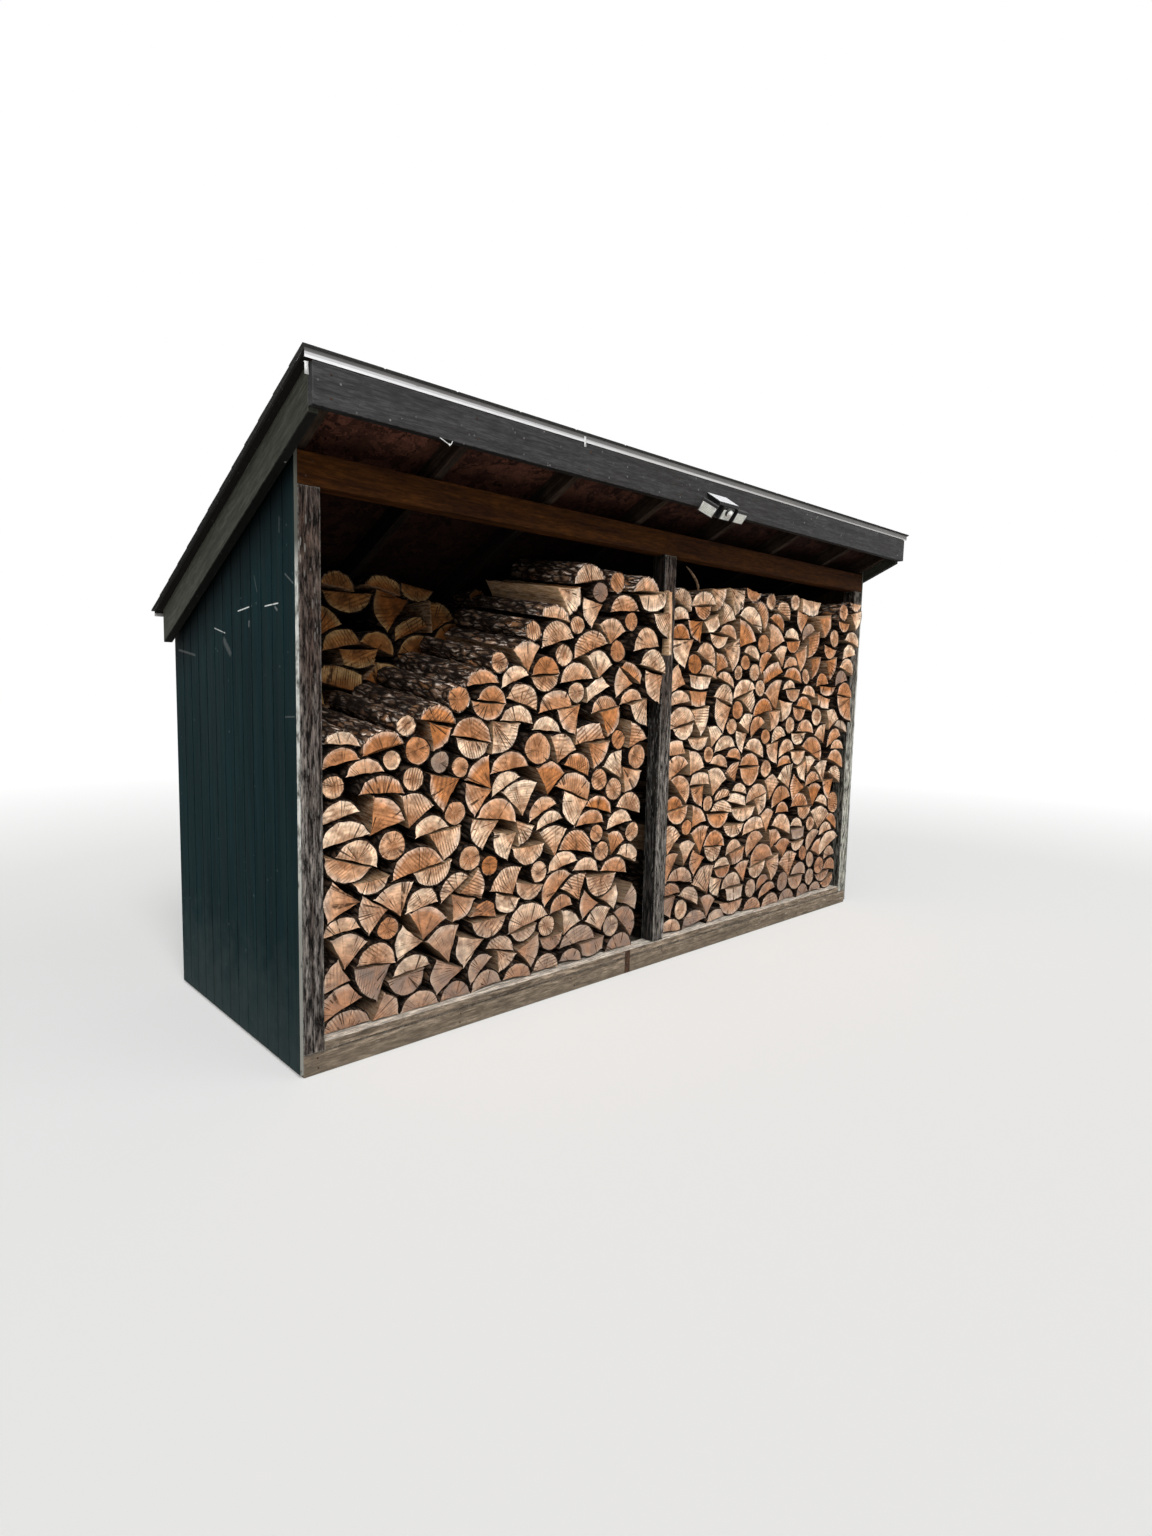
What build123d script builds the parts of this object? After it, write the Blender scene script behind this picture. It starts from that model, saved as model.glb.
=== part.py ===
from build123d import *
import math
import os
import numpy as np

os.makedirs("parts", exist_ok=True)

# Open-fronted log store. Millimetres, +Z up, +X to the right along the open front, +Y towards the rear.
# The origin is at ground level, on the front face, midway between the end posts.

# Timber frame
frame_length = 4170.0
frame_depth = 1330.0
post_size = 89.0
board_thickness = 38.0
board_width = 140.0
sill_height = 89.0
header_bottom = 2250.0
header_height = 120.0
rear_beam_height = 89.0

# Roof
roof_pitch = 25.0
rafter_depth = 89.0
rafter_spacing = 610.0
seat_front = 38.0
eave_overhang = 223.0
barge_packing = 12.0
deck_thickness = 11.0
deck_side_overhang = 28.0
deck_rear_overhang = 34.0
deck_course_width = 1220.0
deck_joint_gap = 2.0
shingle_course = 143.0
shingle_thickness = 7.0
shingle_thin = 2.5
shingle_side_overhang = 11.0
shingle_eave_overhang = 12.0
drip_thickness = 1.2
drip_face = 29.0
drip_flange = 60.0

# Siding
siding_thickness = 12.5
siding_ground_gap = 15.0
groove_spacing = 102.0
groove_width = 9.0
groove_depth = 4.0
rail_width = 89.0
side_rails = 2
rear_rails = 1

# Base
board_joint_from_middle = 251.0
bearer_board_width = 184.0
strap_width = 36.0
strap_thickness = 3.0
strap_margin = 4.5

# Firewood
log_clearance = 0.3
stack_side_clearance = 3.0
front_row_setback = 30.0
rear_row_setback = 55.0
row_gap = 44.0
row_scatter = 13.0
roof_clearance = 12.0
shortest_log = 110.0
free_end_gap = 96.0
free_end_drop = 770.0
front_stack_drop = 112.0
rear_stack_drop = 216.0
overshoot = 28.0
lean_out = 95.0
lean_out_width = 420.0
lean_out_low = 0.35
lean_out_high = 0.95
rafter_margin = 5.0
steepest_log = 8.0
level_below = 200.0
steepest_above = 1380.0
log_taper = 0.03

# How the stacks are filled
sampling = 4.0
roll_step = 5.0
most_rolls = 12
least_fall = 0.2
least_fill = 45.0
blocked_columns = 4
draws = 20
finalists = 4
free_end_reach = 220.0
height_weight = 0.003
overshoot_weight = 0.02
upright_weight = 0.5
thickness_weight = 0.3
cap_reach = 135.0

# Lamp on the fascia
lamp_from_middle = 33.0
lamp_panel_width = 160.0
lamp_panel_run = 81.0
lamp_panel_thickness = 14.0
lamp_panel_tilt = 34.0
lamp_panel_above_edge = 82.0
lamp_housing_inset = 4.0
lamp_face_reach = 79.0
lamp_face_drop = 8.0
lamp_face_height = 50.0
lamp_brow = 13.0
lamp_chin = 3.0
lamp_head_width = 84.0
lamp_head_depth = 24.0
lamp_head_pitch = 39.0
lamp_head_spacing = 115.0
lamp_left_turn = 50.0
lamp_arm = 20.0
lamp_pivot = 12.0
sensor_radius = 21.0
sensor_depth = 14.0
sensor_drop = 8.0
sensor_sides = 12

seat_clearance = 0.3


# Derived places
half_length = frame_length / 2
pitch_tangent = math.tan(math.radians(roof_pitch))
pitch_cosine = math.cos(math.radians(roof_pitch))
header_top = header_bottom + header_height
plate_top = sill_height + board_thickness
rear_face = frame_depth
rear_post_front = frame_depth - post_size
rafter_plumb_depth = rafter_depth / pitch_cosine
board_plumb_depth = board_width / pitch_cosine
deck_plumb = deck_thickness / pitch_cosine
fascia_outer = -(eave_overhang + board_thickness)
rear_siding_face = rear_face + siding_thickness
side_siding_face = half_length + siding_thickness
packing_face = side_siding_face + barge_packing
barge_face = packing_face + board_thickness
deck_side = barge_face + deck_side_overhang
deck_rear = rear_siding_face + deck_rear_overhang
shingle_side = deck_side + shingle_side_overhang
middle_left = -post_size / 2
middle_right = post_size / 2
bay_inner_end = half_length - post_size
board_joint = -board_joint_from_middle
row_depth = (frame_depth - rear_row_setback - front_row_setback - row_gap) / 2
bearer_centre = front_row_setback + row_depth + row_gap / 2
packed_plane = front_row_setback / 2


def rafter_bottom(y):
    """Height of the rafters' lower edge above a depth y: it meets the header's top at the seat's front."""
    return header_top + (seat_front - y) * pitch_tangent


def deck_underside(y):
    """Height of the rafters' top edge, which carries the deck."""
    return rafter_bottom(y) + rafter_plumb_depth


def deck_top(y):
    return deck_underside(y) + deck_plumb


rear_beam_top = rafter_bottom(rear_post_front + seat_front)
rear_beam_bottom = rear_beam_top - rear_beam_height


def block(x0, x1, y0, y1, z0, z1):
    """Square-edged timber between two corners."""
    return Pos(x0, y0, z0) * Box(x1 - x0, y1 - y0, z1 - z0, align=(Align.MIN, Align.MIN, Align.MIN))


def polygon_face(corners):
    return Face(Wire.make_polygon(corners, close=True))


def plane_profile(points, x0, x1):
    """A profile drawn in depth and height, carried along the length from x0 to x1."""
    face = polygon_face([Vector(x0, y, z) for y, z in points])
    return Solid.extrude(face, Vector(x1 - x0, 0, 0))


def plan_profile(points, z0, z1):
    """A profile drawn in plan, carried up from z0 to z1."""
    face = polygon_face([Vector(x, y, z0) for x, y in points])
    return Solid.extrude(face, Vector(0, 0, z1 - z0))


def write(name, *solids):
    shape = solids[0] if len(solids) == 1 else Compound(children=list(solids))
    shape.label = name
    export_step(shape, f"parts/{name}.step")


# Base: sills on the ground, boards laid flat on them, and a bearer halfway back for the logs' inner ends

def make_base():
    inner_front = post_size
    joint_gap = seat_clearance / 2
    left_end = board_joint - joint_gap
    right_start = board_joint + joint_gap
    write("front_sill_left", block(-half_length, left_end, 0, post_size, 0, sill_height))
    write("front_sill_right", block(right_start, half_length, 0, post_size, 0, sill_height))
    write("rear_sill", block(-half_length, half_length, rear_post_front, rear_face, 0, sill_height))
    sides = {"left": -half_length, "middle": middle_left, "right": bay_inner_end}
    for side, start in sides.items():
        write(f"{side}_sill", block(start, start + post_size, inner_front, rear_post_front, 0, sill_height))
    bearer_front = bearer_centre - post_size / 2
    bearer_rear = bearer_centre + post_size / 2
    write("bearer_left", block(-bay_inner_end, middle_left, bearer_front, bearer_rear, 0, sill_height))
    write("bearer_right", block(middle_right, bay_inner_end, bearer_front, bearer_rear, 0, sill_height))
    write("front_board_left", block(-bay_inner_end, left_end, 0, post_size, sill_height, plate_top))
    write("front_board_right", block(right_start, bay_inner_end, 0, post_size, sill_height, plate_top))
    rear_board = block(-bay_inner_end, bay_inner_end, rear_post_front, rear_face, sill_height, plate_top)
    write("rear_board", rear_board)
    middle_front = bearer_centre - bearer_board_width / 2
    middle_rear = bearer_centre + bearer_board_width / 2
    write("bearer_board", block(-half_length, half_length, middle_front, middle_rear, sill_height, plate_top))
    strap_left = board_joint - strap_width / 2
    strap_right = board_joint + strap_width / 2
    strap = block(strap_left, strap_right, -strap_thickness, 0, strap_margin, plate_top - strap_margin)
    write("joint_strap", strap)


# Posts and beams

def make_posts():
    columns = {
        "left": (-half_length, sill_height),
        "middle": (middle_left, plate_top),
        "right": (bay_inner_end, sill_height),
    }
    for side, (start, foot) in columns.items():
        write(f"front_post_{side}", block(start, start + post_size, 0, post_size, foot, header_bottom))
        write(
            f"rear_post_{side}",
            block(start, start + post_size, rear_post_front, rear_face, foot, rear_beam_bottom),
        )
    write("header_beam", block(-half_length, half_length, 0, post_size, header_bottom, header_top))
    rear_beam = block(-half_length, half_length, rear_post_front, rear_face, rear_beam_bottom, rear_beam_top)
    write("rear_beam", rear_beam)


# Roof timbers

def rafter_profile():
    """Rafter seen from the side, cut plumb at both ends and notched level over both beams."""
    header_rear = post_size
    rear_seat = rear_post_front + seat_front
    return [
        (-eave_overhang, rafter_bottom(-eave_overhang)),
        (seat_front, header_top),
        (header_rear, header_top),
        (header_rear, rafter_bottom(header_rear)),
        (rear_seat, rear_beam_top),
        (rear_face, rear_beam_top),
        (rear_face, deck_underside(rear_face)),
        (-eave_overhang, deck_underside(-eave_overhang)),
    ]


def rafter_lefts():
    """Left faces of the rafters: one flush with each end of the frame, the others on even centres."""
    places = [-half_length]
    centre = -half_length + rafter_spacing
    while centre + board_thickness < half_length - board_thickness:
        places.append(centre - board_thickness / 2)
        centre += rafter_spacing
    places.append(half_length - board_thickness)
    return places


def sloping_board(plumb_depth):
    """Board under the deck's edge, from behind the fascia to the rear wall's face, cut plumb at both ends."""
    front, rear = -eave_overhang, rear_siding_face
    return [
        (front, deck_underside(front)),
        (front, deck_underside(front) - plumb_depth),
        (rear, deck_underside(rear) - plumb_depth),
        (rear, deck_underside(rear)),
    ]


def make_roof_timbers():
    profile = rafter_profile()
    write("rafters", *[plane_profile(profile, left, left + board_thickness) for left in rafter_lefts()])
    fascia_inner = -eave_overhang
    fascia_top = deck_underside(fascia_inner)
    fascia_low = fascia_top - board_width
    write("fascia", block(-barge_face, barge_face, fascia_outer, fascia_inner, fascia_low, fascia_top))
    barge = sloping_board(board_plumb_depth)
    write("barge_board_left", plane_profile(barge, -barge_face, -packing_face))
    write("barge_board_right", plane_profile(barge, packing_face, barge_face))
    strip = sloping_board(rafter_plumb_depth)
    left_strip = plane_profile(strip, -packing_face, -side_siding_face)
    write("barge_packing", left_strip, plane_profile(strip, side_siding_face, packing_face))


# Roof covering

def deck_strip(y0, y1, x0, x1):
    """Flat sheet lying on the rafters between two depths, with square sawn ends left plumb."""
    points = [(y0, deck_underside(y0)), (y1, deck_underside(y1)), (y1, deck_top(y1)), (y0, deck_top(y0))]
    return plane_profile(points, x0, x1)


def make_covering():
    seam = deck_rear - deck_course_width * pitch_cosine
    rafters = rafter_lefts()
    sheet_joint = rafters[len(rafters) // 2] + board_thickness / 2
    gap = deck_joint_gap / 2
    lower = (seam + gap, deck_rear)
    upper = (fascia_outer, seam - gap)
    for name, (y0, y1) in {"roof_deck_lower": lower, "roof_deck_upper": upper}.items():
        left = deck_strip(y0, y1, -deck_side, sheet_joint - gap)
        right = deck_strip(y0, y1, sheet_joint + gap, deck_side)
        write(name, left, right)
    write("shingles", plane_profile(shingle_profile(), -shingle_side, shingle_side))
    write("drip_edge_front", drip_edge(fascia_outer, -1))
    write("drip_edge_rear", drip_edge(deck_rear, 1))


def shingle_profile():
    """Overlapping courses seen from the side: each is thin at its head and thick at its lower edge."""
    base = drip_thickness + seat_clearance
    front = fascia_outer - shingle_eave_overhang
    rear = deck_rear + shingle_eave_overhang
    run = shingle_course * pitch_cosine
    points = [(rear, deck_top(rear) + base)]
    y = rear
    while y > front:
        head = max(y - run, front)
        thin = shingle_thin + (shingle_thickness - shingle_thin) * (1 - (y - head) / run)
        points.append((y, deck_top(y) + base + shingle_thickness))
        points.append((head, deck_top(head) + base + thin))
        y = head
    points.append((front, deck_top(front) + base))
    return points


def drip_edge(edge, outward):
    """Folded metal strip: a flange under the shingles and a face that hangs over the deck's edge."""
    t = drip_thickness
    inner = edge - outward * drip_flange
    outer = edge + outward * (seat_clearance + t)
    face = edge + outward * seat_clearance
    lip = deck_top(edge) + t - drip_face
    points = [
        (inner, deck_top(inner)),
        (face, deck_top(face)),
        (face, lip),
        (outer, lip),
        (outer, deck_top(outer) + t),
        (inner, deck_top(inner) + t),
    ]
    return plane_profile(points, -deck_side, deck_side)


# Walls: sheets with sawn grooves, carried on rails between the posts

def grooved_edge(start, end, first):
    """Distances along a sheet where its outer face steps in and out, as pairs of distance and depth."""
    steps = []
    centre = first
    while centre + groove_width < end:
        if centre - groove_width > start:
            steps.append((centre - groove_width / 2, 0.0))
            steps.append((centre - groove_width / 2, groove_depth))
            steps.append((centre + groove_width / 2, groove_depth))
            steps.append((centre + groove_width / 2, 0.0))
        centre += groove_spacing
    return steps


def side_wall(side):
    """Grooved sheet outside the end posts, cut off below the deck."""
    inner = side * half_length
    outer = side * side_siding_face
    points = [(inner, 0.0), (outer, 0.0)]
    for along, depth in grooved_edge(0.0, rear_face, groove_spacing):
        points.append((outer - side * depth, along))
    points.append((outer, rear_face))
    points.append((inner, rear_face))
    sheet = plan_profile(points, siding_ground_gap, deck_underside(0.0) + siding_thickness)
    reach = side_siding_face + board_thickness
    above = [
        (-post_size, deck_underside(-post_size)),
        (rear_face + post_size, deck_underside(rear_face + post_size)),
        (rear_face + post_size, deck_underside(-post_size) + frame_depth),
        (-post_size, deck_underside(-post_size) + frame_depth),
    ]
    return sheet - plane_profile(above, -reach, reach)


def rear_wall():
    """Grooved sheets across the back, over the ends of the side sheets and up to the deck."""
    left, right = -side_siding_face, side_siding_face
    points = [(right, rear_face), (left, rear_face), (left, rear_siding_face)]
    for along, depth in grooved_edge(left, right, left + groove_spacing):
        points.append((along, rear_siding_face - depth))
    points.append((right, rear_siding_face))
    return plan_profile(points, siding_ground_gap, deck_underside(rear_siding_face))


def rail_heights(count):
    """Undersides of rails spaced evenly between the sill and the rear beam."""
    pitch = (rear_beam_bottom - sill_height) / (count + 1)
    return [sill_height + pitch * number - rail_width / 2 for number in range(1, count + 1)]


def make_walls():
    write("wall_left", side_wall(-1))
    write("wall_right", side_wall(1))
    write("wall_rear", rear_wall())
    rails = []
    for low in rail_heights(side_rails):
        for start in (-half_length, half_length - board_thickness):
            end = start + board_thickness
            rails.append(block(start, end, post_size, rear_post_front, low, low + rail_width))
    for low in rail_heights(rear_rails):
        for start in (-bay_inner_end, middle_right):
            end = start + bay_inner_end - middle_right
            rails.append(block(start, end, rear_face - board_thickness, rear_face, low, low + rail_width))
    write("wall_rails", *rails)


# Firewood. Each log is a split billet: a round, a half, a wedge or a slab, described by its end outline.

def from_left(points):
    """Anticlockwise outline turned so that it starts at its leftmost point."""
    return np.roll(points, -int(np.argmin(points[:, 0])), axis=0)


def is_convex(points):
    edges = np.roll(points, -1, axis=0) - points
    following = np.roll(edges, -1, axis=0)
    return bool((edges[:, 0] * following[:, 1] - edges[:, 1] * following[:, 0] > 0).all())


def turned(points, angle):
    c, s = math.cos(angle), math.sin(angle)
    centre = points.mean(axis=0)
    return (points - centre) @ np.array([[c, s], [-s, c]])


def round_log(size, rng):
    """Whole stem: a slightly oval outline of seven points."""
    count = 7
    angles = (np.arange(count) + rng.uniform(-0.12, 0.12, count)) * 2 * math.pi / count
    reach = 0.5 * size * rng.uniform(0.68, 0.9) * rng.uniform(0.95, 1.05, count)
    outline = np.column_stack([reach * np.cos(angles), reach * np.sin(angles)])
    return outline, rng.uniform(0, 2 * math.pi)


def half_log(size, rng):
    """Stem split down its middle: a flat face and an arc of bark, most often laid flat side down."""
    radius = 0.5 * size * rng.uniform(1.12, 1.4)
    angles = np.radians([0, 42, 90, 138, 180]) + rng.uniform(-0.08, 0.08, 5) * [0, 1, 1, 1, 0]
    height = rng.uniform(0.78, 1.08)
    outline = np.column_stack([radius * np.cos(angles), height * radius * np.sin(angles)])
    lay = rng.random()
    if lay < 0.55:
        return outline, rng.normal(0, 0.16)
    if lay < 0.72:
        return outline, math.pi + rng.normal(0, 0.2)
    return outline, rng.uniform(0, 2 * math.pi)


def bark_up_half(size, rng):
    """Half laid flat side down, so that nothing but bark shows above it."""
    outline, _ = half_log(size, rng)
    return outline, rng.normal(0, 0.14)


def wedge_log(size, rng):
    """Stem split in three or four: a point at the heart, two split faces and an arc of bark."""
    radius = size * rng.uniform(0.86, 1.06)
    spread = math.radians(rng.uniform(62, 108))
    angles = np.linspace(0, spread, 3)
    bulge = np.array([1.0, 1.06, 1.0]) * rng.uniform(0.94, 1.04, 3)
    arc = np.column_stack([radius * bulge * np.cos(angles), radius * bulge * np.sin(angles)])
    return np.vstack([[0.0, 0.0], arc]), rng.uniform(0, 2 * math.pi)


def slab_log(size, rng):
    """Outer slab: two nearly parallel split faces, the shorter one under the bark."""
    width = size * rng.uniform(1.05, 1.35)
    depth = size * rng.uniform(0.44, 0.62)
    inset = rng.uniform(0.06, 0.2, 2) * width
    shoulder = depth * rng.uniform(0.78, 0.95)
    crown = [0.5 * width, depth * rng.uniform(1.02, 1.12)]
    outline = [[0.0, 0.0], [width, 0.0], [width - inset[0], shoulder], crown, [inset[1], shoulder * 0.96]]
    return np.array(outline), rng.choice([0.0, math.pi]) + rng.normal(0, 0.25)


shapes = {"round": round_log, "half": half_log, "bark_up": bark_up_half, "wedge": wedge_log, "slab": slab_log}


def chains(points):
    """Lower and upper edge of a convex outline, each from left to right."""
    points = from_left(points)
    last = int(np.argmax(points[:, 0]))
    lower = points[: last + 1]
    upper = np.vstack([points[last:], points[:1]])[::-1]
    return lower, upper


def resting_height(lower, upper):
    """How far up a lower edge has to sit to clear an upper edge that it passes over."""
    left = max(lower[0, 0], upper[0, 0])
    right = min(lower[-1, 0], upper[-1, 0])
    marks = np.concatenate([lower[:, 0], upper[:, 0], (left, right)])
    marks = marks[(marks >= left) & (marks <= right)]
    over = np.interp(marks, upper[:, 0], upper[:, 1])
    return float((over - np.interp(marks, lower[:, 0], lower[:, 1])).max())


class Stack:
    """Logs dropped one by one between two upright faces, each the best fit for the lowest gap."""

    def __init__(self, left, right, floor, top_line, mixes, size, seed):
        self.left = left
        self.right = right
        self.floor = floor
        self.rng = np.random.default_rng(seed)
        self.mix, self.cap_mix = mixes
        self.size = size
        self.columns = np.arange(left + sampling / 2, right, sampling)
        self.level = np.full(len(self.columns), floor)
        self.top = np.array([top_line(x) for x in self.columns])
        self.full = np.zeros(len(self.columns), bool)
        self.placed = []

    def candidates(self, target):
        """Billets to choose from, of the capping kinds where the last layer is due."""
        capping = self.top[target] - self.level[target] < cap_reach
        mix = self.cap_mix if capping else self.mix
        kinds = list(mix)
        shares = np.array([mix[kind] for kind in kinds])
        for pick in self.rng.choice(len(kinds), draws, p=shares / shares.sum()):
            size = self.size * self.rng.uniform(0.8, 1.18)
            outline, angle = shapes[kinds[pick]](size, self.rng)
            if is_convex(outline):
                outline = turned(outline, angle)
                yield kinds[pick], outline - outline.min(axis=0)

    def best_place(self, outline, target, limit):
        """Place near the lowest gap with the least waste under the log, a low top and a flat lie."""
        lower, upper = chains(outline)
        width, height = outline.max(axis=0)
        span = int(math.ceil(width / sampling))
        middles = (np.arange(span) + 0.5) * width / span
        under = np.interp(middles, lower[:, 0], lower[:, 1])
        first = max(target - span, 0)
        last = min(target, limit - span)
        if last < first:
            return None
        windows = np.lib.stride_tricks.sliding_window_view(self.level[first : last + span], span)
        rise = (windows - under).max(axis=1)
        waste = (rise[:, None] + under - windows).sum(axis=1) * sampling
        area = width * (np.interp(middles, upper[:, 0], upper[:, 1]) - under).mean()
        over = rise + height - self.top[first : last + 1]
        upright = max(0.0, height / width - 1.0)
        climb = rise + height - self.level[target]
        penalty = height_weight * climb + overshoot_weight * over.clip(0) + upright_weight * upright
        score = waste / area + penalty
        pick = int(np.argmin(score))
        return score[pick], self.columns[first + pick] - sampling / 2

    def settle(self, outline, x):
        """Exact resting height at x, from the outlines already in place."""
        lower, _ = chains(outline + [x, 0.0])
        height = self.floor
        for neighbour in reversed(self.placed):
            if neighbour["top"] <= height or neighbour["right"] <= x or neighbour["left"] >= lower[-1, 0]:
                continue
            height = max(height, resting_height(lower, neighbour["upper"]))
        return height + log_clearance

    def roll_down(self, outline, x, limit):
        """Let a log roll sideways from x while that takes it lower."""
        furthest = min(self.right, self.left + limit * sampling) - outline[:, 0].max()
        x = min(max(x, self.left), furthest)
        height = self.settle(outline, x)
        for step in (-roll_step, roll_step):
            for _ in range(most_rolls):
                spot = min(max(x + step, self.left), furthest)
                lower = self.settle(outline, spot)
                if lower > height - least_fall:
                    break
                x, height = spot, lower
        return x, height

    def add(self):
        beside_end = self.level[self.free_from - int(free_end_reach / sampling) : self.free_from]
        limit = len(self.columns) if beside_end.min() > self.free_top else self.free_from
        space = np.where(self.full | (self.level > self.top - least_fill), np.inf, self.level)
        space[limit:] = np.inf
        if not np.isfinite(space).any():
            return False
        target = int(np.argmin(space))
        places = []
        for kind, outline in self.candidates(target):
            place = self.best_place(outline, target, limit)
            if place:
                places.append((*place, kind, outline))
        places.sort(key=lambda entry: entry[0])
        best = None
        for _, x, kind, outline in places[:finalists]:
            x, height = self.roll_down(outline, x, limit)
            worth = height + thickness_weight * outline[:, 1].max()
            if best is None or worth < best[0]:
                best = (worth, kind, outline + [x, height])
        beside = slice(max(target - blocked_columns, 0), target + blocked_columns + 1)
        if best is None:
            self.full[beside] = True
            return True
        _, kind, outline = best
        ceiling = np.interp(outline[:, 0].mean(), self.columns, self.top)
        if outline[:, 1].max() > ceiling + overshoot:
            self.full[beside] = True
            return True
        self.place(kind, outline)
        return True

    def place(self, kind, outline):
        _, upper = chains(outline)
        left, right = outline[:, 0].min(), outline[:, 0].max()
        covered = (self.columns > left) & (self.columns < right)
        surface = np.interp(self.columns[covered], upper[:, 0], upper[:, 1])
        self.level[covered] = np.maximum(self.level[covered], surface)
        log = {"kind": kind, "outline": outline, "upper": upper, "left": left, "right": right}
        self.placed.append({**log, "top": outline[:, 1].max()})

    def fill(self, free_end=0.0, free_top=0.0):
        """Fill up to the top line, leaving the last stretch at the right empty below a height."""
        self.free_from = len(self.columns) - int(free_end / sampling)
        self.free_top = free_top
        self.level[self.free_from :] = free_top
        while self.add():
            pass
        return self.placed


def under_roof(log, climb):
    """Greatest depth that a log rising towards its inner end can reach below the rafters or the deck."""
    near_rafter = False
    for place in rafter_lefts():
        if log["left"] < place + board_thickness + rafter_margin and log["right"] > place - rafter_margin:
            near_rafter = True
    line = rafter_bottom(0.0) if near_rafter else deck_underside(0.0)
    return (line - roof_clearance - log["top"]) / (pitch_tangent + climb)


def log_climb(log):
    """Rise per length: low logs lie level, and the pitch grows with height up to its full value."""
    middle = log["outline"][:, 1].mean()
    share = (middle - level_below) / (steepest_above - level_below)
    return math.tan(math.radians(steepest_log)) * min(1.0, max(0.0, share))


def log_solid(outline, front, end, climb):
    """Log that climbs from the plane its outline was packed in and tapers inward, with flat sides."""
    middle = outline.mean(axis=0)
    inner = middle + (outline - middle) * (1 - log_taper)
    near_rise, far_rise = climb * (front - packed_plane), climb * (end - packed_plane)
    near = [Vector(x, front, z + near_rise) for x, z in outline]
    far = [Vector(x, end, z + far_rise) for x, z in inner]
    faces = [polygon_face(near), polygon_face(far)]
    for here in range(len(near)):
        after = (here + 1) % len(near)
        faces.append(polygon_face([near[here], near[after], far[after], far[here]]))
    return Solid(Shell(faces))


# Tops of the stacks, as heights above ground at places along each bay

def stepped_top(x):
    """Left front stack: it climbs in steps from the left post and levels off below the beam."""
    along = [134, 300, 495, 704, 885, 1042, 1245, 1330, 1467, 1826, 2040]
    below_beam = [935, 899, 854, 761, 645, 490, 343, 201, 133, 123, 129]
    return header_bottom - float(np.interp(x + half_length, along, below_beam))


def level_top(drop):
    return lambda x: header_bottom - drop


front_mix = {"round": 0.05, "half": 0.42, "wedge": 0.44, "slab": 0.09}
rear_mix = {"round": 0.02, "half": 0.28, "wedge": 0.45, "slab": 0.25}
bark_up_mix = {"round": 0.4, "bark_up": 0.6}


def front_places(log, rng, bay_end):
    """Front logs start close behind the boards' front edge; high up at the right end they lean out."""
    front = front_row_setback + rng.uniform(0, row_scatter)
    end = front_row_setback + row_depth + rng.uniform(-row_scatter, row_scatter)
    beside = max(0.0, 1 - (bay_end - log["right"]) / lean_out_width)
    share = (log["top"] - plate_top) / (header_bottom - plate_top)
    raised = (share - lean_out_low) / (lean_out_high - lean_out_low)
    lean = lean_out * beside * min(1.0, max(0.0, raised))
    return front - lean, end - lean


def rear_places(log, rng, bay_end):
    end = frame_depth - rear_row_setback
    start = end - row_depth
    return start + rng.uniform(-row_scatter, row_scatter), end - rng.uniform(0, row_scatter)


def clear_of_roof(log, end, climb):
    """How far back a log can reach before it meets the rafters, the deck or the rear beam."""
    end = min(end, under_roof(log, climb))
    if log["top"] > rear_beam_bottom - roof_clearance:
        end = min(end, rear_post_front - roof_clearance)
    return end


def make_firewood():
    """Two rows of logs in each bay, each row a stack of its own; the order of the draws is fixed."""
    rng = np.random.default_rng(5)
    left_bay = (-bay_inner_end + stack_side_clearance, middle_left - stack_side_clearance)
    right_bay = (middle_right + stack_side_clearance, bay_inner_end - stack_side_clearance)
    free_end = (free_end_gap, header_bottom - free_end_drop)
    front_top = level_top(front_stack_drop)
    rear_top = level_top(rear_stack_drop)
    stepped, plain, rear = (front_mix, bark_up_mix), (front_mix, front_mix), (rear_mix, rear_mix)
    stacks = {
        "firewood_front_left": (left_bay, stepped_top, stepped, 178.0, 11, front_places, free_end),
        "firewood_front_right": (right_bay, front_top, plain, 180.0, 12, front_places, (0.0, 0.0)),
        "firewood_rear_left": (left_bay, rear_top, rear, 196.0, 13, rear_places, (0.0, 0.0)),
        "firewood_rear_right": (right_bay, rear_top, rear, 200.0, 14, rear_places, (0.0, 0.0)),
    }
    for name, (bay, top, mixes, size, seed, places, free) in stacks.items():
        left, right = bay
        solids = []
        for log in Stack(left, right, plate_top, top, mixes, size, seed).fill(*free):
            front, end = places(log, rng, right)
            climb = log_climb(log) if mixes is stepped else 0.0
            end = clear_of_roof(log, end, climb)
            if end - front > shortest_log:
                solids.append(log_solid(log["outline"], front, end, climb))
        write(name, *solids)


# Lamp: a housing below a tilted panel, and three heads that face down, the left one turned aside on its arm

lamp_back = fascia_outer - seat_clearance
fascia_low = deck_underside(-eave_overhang) - board_width
head_cosine = math.cos(math.radians(lamp_head_pitch))
head_sine = math.sin(math.radians(lamp_head_pitch))
head_normal = Vector(0, -head_cosine, -head_sine)
head_upward = Vector(0, -head_sine, head_cosine)
face_middle = Vector(lamp_from_middle, fascia_outer - lamp_face_reach, fascia_low - lamp_face_drop)
panel_slope = math.tan(math.radians(lamp_panel_tilt))
panel_plumb = lamp_panel_thickness / math.cos(math.radians(lamp_panel_tilt))
panel_rear_top = fascia_low + lamp_panel_above_edge


def panel_top(y):
    return panel_rear_top - (lamp_back - y) * panel_slope


def beside_faces(out, up):
    """Depth and height of a point given outward from the lamp faces and upward along them."""
    point = face_middle + head_normal * out + head_upward * up
    return point.Y, point.Z


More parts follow.
